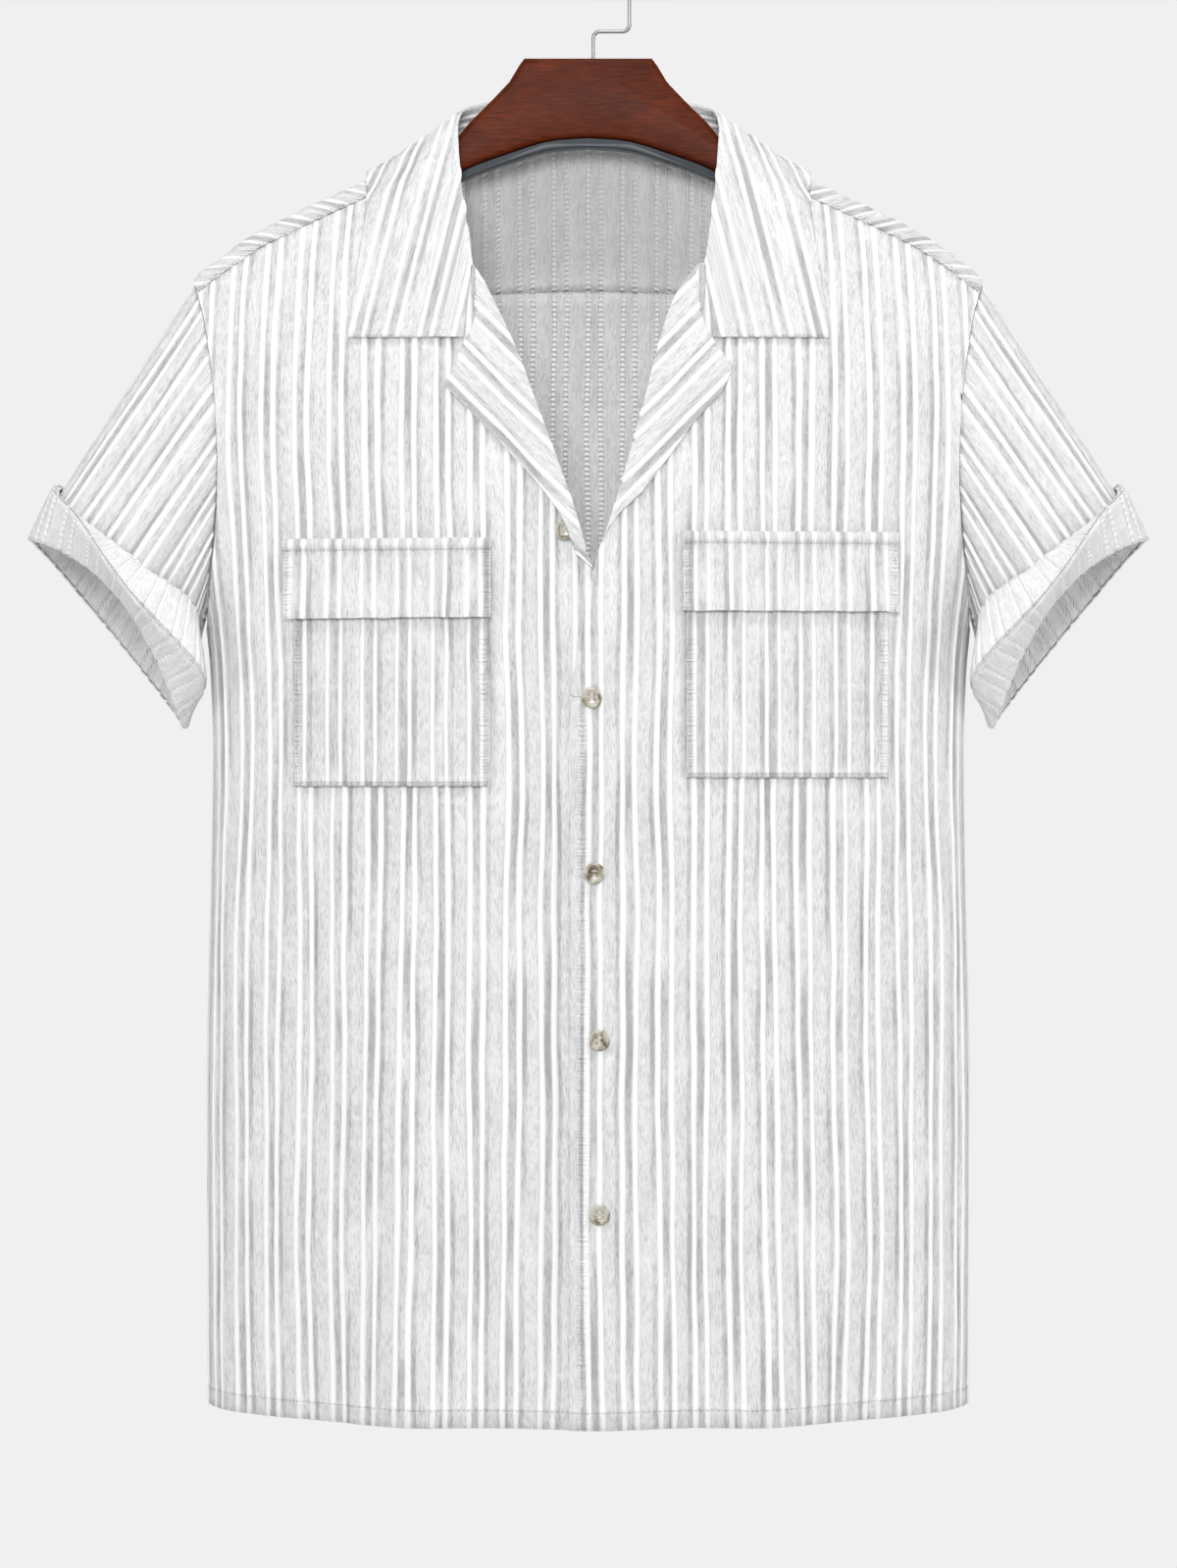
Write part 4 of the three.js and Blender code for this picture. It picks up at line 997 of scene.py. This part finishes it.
def lapel(name, side, roll, free_edge, lifted):
    rolled = [(float(through(roll, z)) + SEAM_GAP, z) for z in spaced(-202, free_edge[0][1] - 8, 14)]

    def lift(x, z):
        if side > 0:
            return LAPEL_LIFT
        off = (x - 10) ** 2 + (z + 359) ** 2
        return LAPEL_LIFT + BUTTON_BUMP * math.exp(-off / BUTTON_BUMP_SPREAD)

    outline = rolled + free_edge
    bm, flat = on_front(
        side, outline, lift, 30, turn=-LAPEL_TURN, lifted=lifted, relief=0.85, seed=20
    )
    front = name.replace("lapel", "front")
    cloth_piece(name, bm, flat, rests_on=[front])


lapel("lapel_right", -1, ROLL_RIGHT, LAPEL_RIGHT, lambda x: 0)
lapel("lapel_left", 1, ROLL_LEFT, LAPEL_LEFT, overlap_lift)


# The collar: stand and fall in one, sewn to the neck, folded over at the top and pressed open
# over the lapels' gorge. Its ribs run round the neck and down each leaf at a slant.
COLLAR = [  # t, neck x y z, fold x y z, outer edge x y z, from the centre back to the gorge
    (0, 0, 18.5, -122.8, 0, 26, -95, 0, 31, -152),
    (0.14, 34, 17.5, -122.4, 32, 24, -95.5, 48, 31, -154),
    (0.28, 62, 14, -121.4, 56, 17, -98, 88, 28, -158),
    (0.4, 80, 7, -121, 71, 8, -103, 116, 17, -155),
    (0.5, 84, -1, -122, 76.5, -3, -108.5, 130, 1, -143.6),
    (0.6, 83, -13, -131, 78, -15, -122, 131, -16, -157),
    (0.72, 80.5, -20, -150, 76, -23, -144, 132.5, -20, -178),
    (0.86, 76.5, -25, -176, 72.5, -27, -173, 137, -25, -212),
    (1, 71.5, -30, -199, 68.5, -30, -203, 141, -30, -245.5),
]
COLLAR_STAND = 28
COLLAR_FALL = 64
COLLAR_LIFT = 3
COLLAR_CREST_EXTRA = 2.1
COLLAR_CORNER = (73, -246)
COLLAR_KNEE = 0.42
COLLAR_KNEE_FROM = 0.72
COLLAR_LENGTH = 470
COLLAR_RIB_SLANT = 13
COLLAR_RIB_CLOSENESS = 1.05
COLLAR_LEAF_FOLD = 50
COLLAR_ROWS = 130


def collar_row(t):
    return [
        Vector([float(through([(row[0], row[start + k]) for row in COLLAR], t)) for k in range(3)])
        for start in (1, 4, 7)
    ]


def settle(place, lift):
    """Moves a place of the collar out until it clears the cloth under it."""
    is_front = place.y < 0
    crest_z = float(shoulder_z(place.x)) - CREST_RADIUS
    if place.z < crest_z:
        least = float(sheet_depth(place.x, place.z, is_front)) + lift
        place.y = min(place.y, -least) if is_front else max(place.y, least)
        return
    reach = math.hypot(place.y, place.z - crest_z)
    lean = (place.y / reach) ** 2
    widest = float(sheet_depth(place.x, crest_z, is_front))
    least = mix(CREST_RADIUS + COLLAR_CREST_EXTRA, widest, lean) + lift
    grow = max(least / reach, 1)
    place.y *= grow
    place.z = crest_z + (place.z - crest_z) * grow


collar_rows = {}


def collar_point(at, way):
    half = way / COLLAR_LENGTH * 2 - 1
    side = -1 if half < 0 else 1
    t = abs(half)
    if t not in collar_rows:
        collar_rows[t] = collar_row(t)
    neck, fold, edge = collar_rows[t]
    if at < COLLAR_STAND:
        share = at / COLLAR_STAND
        place = neck.lerp(fold, share)
        if t > 0.5:
            settle(place, smooth_step((t - 0.5) / 0.1) * COLLAR_LIFT * share * share)
    else:
        share = (at - COLLAR_STAND) / COLLAR_FALL
        place = fold.lerp(edge, share)
        straight = fold.lerp(edge, COLLAR_KNEE)
        bent = share / COLLAR_KNEE if share < COLLAR_KNEE else (1 - share) / (1 - COLLAR_KNEE)
        pull = smooth_step((t - COLLAR_KNEE_FROM) / (1 - COLLAR_KNEE_FROM)) * bent
        place.x += pull * (COLLAR_CORNER[0] - straight.x)
        place.z += pull * (COLLAR_CORNER[1] - straight.z)
        settle(place, COLLAR_LIFT)
    place.x *= side
    return place


def collar_grain(at, way):
    """Where a place of the collar lies across the ribs: they run along it behind the neck, and
    down each leaf at a slant in front."""
    t = abs(way / COLLAR_LENGTH * 2 - 1)
    place = collar_point(at, way)
    slant = math.radians(COLLAR_RIB_SLANT)
    down_leaf = abs(place.x) * math.cos(slant) + place.z * math.sin(slant)
    on_leaf = COLLAR_STAND + COLLAR_RIB_CLOSENESS * (down_leaf - COLLAR_LEAF_FOLD)
    return 30 + mix(at, on_leaf, smooth_step((t - 0.46) / 0.2))


collar_columns = spaced(0, COLLAR_STAND + COLLAR_FALL, 84)
bm, flat = woven_grid(collar_columns, spaced(0, COLLAR_LENGTH, COLLAR_ROWS))
hang(bm, flat, collar_point, lambda at, way: rib_height(collar_grain(at, way), way), turned=True)
cloth_piece(
    "collar", bm, flat,
    rests_on=["yoke"],
    across=lambda at, way: (collar_grain(at, way), way),
)


# The sleeves: each is one piece with its seam under the arm, set into the armhole and hanging
# from it at a slant. The ribs run from the armhole to the opening.
OPENING_X = 286
OPENING_Z = -416.5
OPENING_HALF_WIDTH = 71.5
OPENING_HALF_DEPTH = 44
OPENING_ALONG = (0.63, 0.777)
OPENING_FRONT_RISE = 22
SLEEVE_PERIODS = 18
SLEEVE_SEAM = 0.1
UNDERARM_SHIFT = 5.4
SLEEVE_ROWS = 26
SLEEVE_CLOTH = 150
CUFF_PRESS = 0.5
PRESS_START = 0.6
PRESS_RUN = 0.3


def armhole_point(angle):
    t = (1 - math.cos(angle)) / 2
    z = mix(ARMHOLE_TOP, ARMHOLE_BOTTOM, t)
    turn = math.sin(angle)
    full = FRONT_FULLNESS if turn > 0 else BACK_FULLNESS
    depth = armhole_share(z) * float(crest_depth(shoulder_z(armhole_x(z)) - z, full))
    return Vector((armhole_x(z) + UNDERARM_SHIFT * t ** 4, -depth * turn / math.hypot(turn, 0.25), z))


def opening_point(angle):
    across = OPENING_HALF_WIDTH * math.cos(angle)
    rise = OPENING_FRONT_RISE * max(math.sin(angle), 0) ** 2
    return Vector((
        OPENING_X + across * OPENING_ALONG[0] - rise / 2,
        -OPENING_HALF_DEPTH * math.sin(angle),
        OPENING_Z + across * OPENING_ALONG[1] + rise * 0.866,
    ))


ring_angles = np.linspace(0, 2 * math.pi, 721)
ring = [opening_point(a) for a in ring_angles]
ring_lengths = np.concatenate([[0], np.cumsum([(b - a).length for a, b in zip(ring, ring[1:])])])
OPENING_LENGTH = float(ring_lengths[-1])
SLEEVE_PITCH = OPENING_LENGTH / SLEEVE_PERIODS


def opening_angle(at):
    return float(np.interp(at % OPENING_LENGTH, ring_lengths, ring_angles))


@functools.lru_cache(maxsize=None)
def sleeve_frame(at):
    start = armhole_point(opening_angle(at))
    end = opening_point(opening_angle(at))
    return start, end, (end - start).length


def tube_grid(rows):
    columns = rib_columns(0, OPENING_LENGTH, SLEEVE_PITCH)
    return woven_grid(columns, rows)


def sleeve_height(at, way):
    """The ribs' height, and the same on both sides of the seam under the arm."""
    blend = smooth_step(min(at, OPENING_LENGTH - at) / 4)
    return blend * rib_height(at, way, SLEEVE_PITCH)


SLEEVE_CREASES = [  # place round at the armhole, at the opening, half width, height
    (62, 92, 13, 2.4), (98, 118, 10, -2.2), (132, 150, 12, 2.0), (24, 48, 10, -1.6),
    (262, 240, 14, 2.2), (312, 300, 12, -1.8), (352, 330, 11, 1.6),
]


def sleeve_crease(at, share):
    fade = math.sin(math.pi * min(max(share, 0), 1)) ** 0.7
    return fade * sum(
        rise * math.exp(-(((at - mix(top, end, share)) / spread) ** 2))
        for top, end, spread, rise in SLEEVE_CREASES
    )


def sleeve_relief(at, share):
    """Ribs and creases; the ribs lie flatter towards the cuff, which presses on them."""
    pressed = 1 - CUFF_PRESS * smooth_step((share - PRESS_START) / PRESS_RUN)
    return sleeve_height(at, share * SLEEVE_CLOTH) * pressed + sleeve_crease(at, share)


def sleeve(name, side):
    def point(at, share):
        start, end, length = sleeve_frame(at)
        place = start.lerp(end, mix(SLEEVE_SEAM / length, 1 - SLEEVE_SEAM / length, share))
        place.x *= side
        return place

    bm, flat = tube_grid(spaced(0, 1, SLEEVE_ROWS))
    hang(bm, flat, point, sleeve_relief, turned=side < 0, closed=True)
    cloth_piece(
        name, bm, flat, rests_on=["yoke"],
        seams=lambda at, share, place: (FAR, share * sleeve_frame(at)[2] + 1.2),
        across=lambda at, share: (at * RIB_PITCH / SLEEVE_PITCH, -share * sleeve_frame(at)[2]),
    )


for side_name, side in SIDES:
    sleeve(f"sleeve_{side_name}", side)


# The cuffs: the sleeve's end turned up twice. The band shows the cloth's reverse and the free
# edge its face again, and they stand away from the sleeve at the front.
CUFF = [  # angle, band rise, band out, edge rise, edge out; 0 is the outer end and 90 the front
    (-45, 34, 8, 38, 2.0), (0, 34, 5, 34.6, 1.7), (45, 24, 17, 22, 2.8), (90, 8, 29, 24, 3.4),
    (135, 15, 24, 45, 4), (180, 19, 4.5, 38, 3.2), (225, 28, 8, 50, 3.6), (270, 33, 12, 56, 3.6),
    (315, 34, 8, 38, 2.0), (360, 34, 5, 34.6, 1.7), (405, 24, 17, 22, 2.8),
]
CUFF_ROWS = 34
CUFF_CLOTH = 60
FOLD_RIDGE = 1.5
FOLD_SHARE = 0.49
FOLD_SPREAD = 0.022
CUFF_STITCH_SHARE = 0.53


def cuff_size(angle, column):
    return float(through([(row[0], row[column]) for row in CUFF], math.degrees(angle) % 360))


@functools.lru_cache(maxsize=None)
def cuff_frame(at):
    """Where the cuff starts at a place round the opening, its directions and its profile there."""
    angle = opening_angle(at)
    base = opening_point(angle)
    up = (armhole_point(angle) - base).normalized()
    around = opening_point(angle + 0.05) - opening_point(angle - 0.05)
    out = up.cross(around).normalized()
    band_rise, band_out, edge_rise, edge_out = (cuff_size(angle, k) for k in (1, 2, 3, 4))
    profile = [  # share, rise, out
        (0, -0.8, -0.3), (0.1, -0.3, 2.2), (0.25, band_rise * 0.4, band_out * 0.45 + 1.4),
        (0.5, band_rise, band_out),
        (0.75, mix(band_rise, edge_rise, 0.5), mix(band_out, edge_out, 0.42)),
        (1, edge_rise, edge_out),
    ]
    shares = spaced(0, 1, CUFF_ROWS)
    rise = through([(p[0], p[1]) for p in profile], shares)
    reach = through([(p[0], p[2]) for p in profile], shares)
    return base, up, out, shares, rise, reach


def cuff(name, side):
    def point(at, share):
        base, up, out, shares, rise, reach = cuff_frame(at)
        place = base + up * float(np.interp(share, shares, rise))
        place += out * float(np.interp(share, shares, reach))
        place.x *= side
        return place

    def relief(at, share):
        ridge = FOLD_RIDGE * math.exp(-(((share - FOLD_SHARE) / FOLD_SPREAD) ** 2))
        return sleeve_height(at, share * CUFF_CLOTH) * (0.9 if share > 0.5 else 0.35) + ridge

    bm, flat = tube_grid(spaced(0, 1, CUFF_ROWS))
    hang(bm, flat, point, relief, turned=side < 0, closed=True)
    cloth_piece(
        name, bm, flat,
        seams=lambda at, share, place: (FAR, (share - CUFF_STITCH_SHARE) * CUFF_CLOTH),
        rests_on=[name.replace("cuff", "sleeve")],
        across=lambda at, share: (at * RIB_PITCH / SLEEVE_PITCH, share * CUFF_CLOTH),
    )


for side_name, side in SIDES:
    cuff(f"cuff_{side_name}", side)


# The buttons: 12 mm four-hole shirt buttons turned from mottled horn, with a raised rim and a
# dished face, sewn on with white cotton thread.
BUTTON_HOLE_RADIUS = 0.8
BUTTON_HOLE_OFFSET = 1.5
BUTTON_CLEARANCE = 1.5
THREAD_SIZE = (1.9, 0.42, 0.45)
THREAD_HEIGHT = 1.6
BUTTONS = [  # x, z, lift
    (-13, -359, 0), (2, -456.5, 2.3), (3.5, -558.5, 2.1), (6.5, -655, 1.85), (6.5, -756, 1.6),
]
BUTTON_PROFILE = [  # radius, distance in front of the button's back
    (0, 1.75), (3.1, 1.75), (3.9, 2.0), (4.5, 2.5), (5.1, 2.6), (5.7, 2.4), (6.1, 1.8),
    (6.1, 1.1), (5.6, 0.5), (4.4, 0.1), (2.5, 0), (0, 0),
]


def horn():
    """Polished horn: pale grey-olive with brown mottling, a little see-through, glossy."""
    material, tree, shader = new_material("polished horn")
    place = add_node(tree, "ShaderNodeTexCoord").outputs["Object"]
    clouds = texture(tree, place, 95, 3, Distortion=1.2)
    tone = ramp(tree, clouds, (0.34, "#513B20"), (0.42, "#98907A"), (0.54, "#C6C3B6"))
    dress(tree, shader, tone, {"Roughness": 0.22, "Coat Weight": 0.3})
    return material


def cotton_thread():
    """White sewing thread, two-ply and matt."""
    material, tree, shader = new_material("cotton thread")
    place = add_node(tree, "ShaderNodeTexCoord").outputs["Object"]
    twist = add_node(
        tree, "ShaderNodeTexWave", links={"Vector": place}, values={"Scale": 600, "Distortion": 2},
    )
    tone = ramp(tree, twist.outputs["Fac"], (0, "#D2CFC8"), (1, "#F4F2EC"))
    dress(tree, shader, tone, {"Roughness": 0.8})
    return material


horn_finish = horn()
thread_finish = cotton_thread()
facing_front = Matrix.Rotation(math.radians(90), 4, "X")
for number, (x, z, lift) in enumerate(BUTTONS, 1):
    back_y = -float(sheet_depth(x, z, True)) - lift - CLOTH_THICKNESS / 2 - BUTTON_CLEARANCE
    place = Matrix.Translation((x + SHIRT_OFFSET_X, back_y, z)) @ facing_front
    bm = bmesh.new()
    outline = [bm.verts.new((radius, 0, height)) for radius, height in BUTTON_PROFILE]
    edges = [bm.edges.new(pair) for pair in zip(outline, outline[1:])]
    bmesh.ops.spin(
        bm, geom=outline + edges, cent=(0, 0, 0), axis=(0, 0, 1), angle=2 * math.pi, steps=40,
        use_merge=True, use_duplicate=False,
    )
    bmesh.ops.remove_doubles(bm, verts=bm.verts, dist=0.001)
    bmesh.ops.recalc_face_normals(bm, faces=bm.faces)
    bmesh.ops.transform(bm, matrix=place, verts=bm.verts)
    disc = finished(f"button_horn_{number}", bm, horn_finish)
    holes = bmesh.new()
    for across in (-BUTTON_HOLE_OFFSET, BUTTON_HOLE_OFFSET):
        for up in (-BUTTON_HOLE_OFFSET, BUTTON_HOLE_OFFSET):
            bmesh.ops.create_cone(
                holes, cap_ends=True, segments=12, radius1=BUTTON_HOLE_RADIUS, radius2=BUTTON_HOLE_RADIUS,
                depth=8, matrix=Matrix.Translation((across, up, 1)),
            )
    bmesh.ops.transform(holes, matrix=place, verts=holes.verts)
    drill = finished("drill", holes)
    cut = disc.modifiers.new("holes", "BOOLEAN")
    cut.operation = "DIFFERENCE"
    cut.solver = "EXACT"
    cut.object = drill
    bpy.context.view_layer.objects.active = disc
    with bpy.context.temp_override(object=disc, active_object=disc, selected_objects=[disc]):
        bpy.ops.object.modifier_apply(modifier="holes")
    bpy.data.objects.remove(drill)
    disc.data.set_sharp_from_angle(angle=math.radians(40))
    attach(disc, "root")
    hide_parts(f"button_{number}")
    bm = bmesh.new()
    for up in (-BUTTON_HOLE_OFFSET, BUTTON_HOLE_OFFSET):
        bmesh.ops.create_uvsphere(
            bm, u_segments=10, v_segments=8, radius=1,
            matrix=place @ Matrix.Translation((0, up, THREAD_HEIGHT)) @ Matrix.Diagonal((*THREAD_SIZE, 1)),
        )
    thread = finished(f"button_thread_{number}", bm, thread_finish)
    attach(thread, "root")


# The room: a pale floor under the hanging shirt, soft light from the sides, front, back and above,
# and a camera level with the middle of the shirt, three metres in front of it.
FLOOR_Z = -1250
FLOOR_RADIUS = 1500
AMBIENT = 0.29
floor_paint, tree, shader = new_material("pale studio floor")
shader.inputs["Base Color"].default_value = linear("#EDEDED")
shader.inputs["Roughness"].default_value = 0.9
bm = bmesh.new()
bmesh.ops.create_circle(bm, cap_ends=True, segments=96, radius=FLOOR_RADIUS)
bmesh.ops.translate(bm, verts=bm.verts, vec=(0, 0, FLOOR_Z))
finished("floor", bm, floor_paint)

world = bpy.data.worlds.new("studio")
world.use_nodes = True
studio = world.node_tree
backdrop = studio.nodes["Background"]
backdrop.inputs["Color"].default_value = linear("#F0F0F0")
ambient = add_node(
    studio, "ShaderNodeBackground", values={"Color": (1, 1, 1, 1), "Strength": AMBIENT},
)
seen_or_lit = add_node(
    studio, "ShaderNodeMixShader",
    links={
        0: add_node(studio, "ShaderNodeLightPath").outputs["Is Camera Ray"],
        1: ambient.outputs[0], 2: backdrop.outputs[0],
    },
)
studio.links.new(seen_or_lit.outputs[0], studio.nodes["World Output"].inputs["Surface"])
bpy.context.scene.world = world
bpy.context.scene.view_settings.view_transform = "Standard"

CHEST = Vector((0, 0, -0.45))
SOFTBOXES = [  # name, place, width and height, watts
    ("left", (-2.0, -0.85, 0.2), (0.5, 1.2), 11), ("right", (2.2, -0.75, 0.0), (0.6, 1.6), 16),
    ("front", (-0.2, -2.6, 0.3), (1.0, 0.6), 30), ("back", (0.4, 2.6, 0.7), (1.4, 1.0), 40),
    ("top", (0.1, -0.8, 1.2), (0.7, 0.3), 11),
]
for name, place, size, power in SOFTBOXES:
    light = bpy.data.lights.new(f"{name} softbox", "AREA")
    light.shape = "RECTANGLE"
    light.size, light.size_y = size
    light.energy = power
    lamp = placed(f"{name} softbox", light)
    lamp.location = place
    lamp.visible_camera = False
    lamp.rotation_euler = (CHEST - Vector(place)).to_track_quat("-Z", "Y").to_euler()

SCALE_MM_PER_PX = 0.58
PHOTO_HEIGHT_PX = 1599
ORIGIN_ABOVE_PHOTO_PX = 74
CAMERA_X = -0.0029
CAMERA_DISTANCE = 3.0
SCALE_PLANE_Y = -0.02
SENSOR_LONG = 36
camera_data = bpy.data.cameras.new("camera")
camera_data.sensor_width = SENSOR_LONG
half_height = PHOTO_HEIGHT_PX / 2 * SCALE_MM_PER_PX * MM
camera_data.lens = SENSOR_LONG / 2 * (CAMERA_DISTANCE + SCALE_PLANE_Y) / half_height
camera = placed("camera", camera_data)
camera_z = -(PHOTO_HEIGHT_PX / 2 + ORIGIN_ABOVE_PHOTO_PX) * SCALE_MM_PER_PX * MM
camera.location = (CAMERA_X, -CAMERA_DISTANCE, camera_z)
camera.rotation_euler = (math.radians(90), 0, 0)
bpy.context.scene.camera = camera
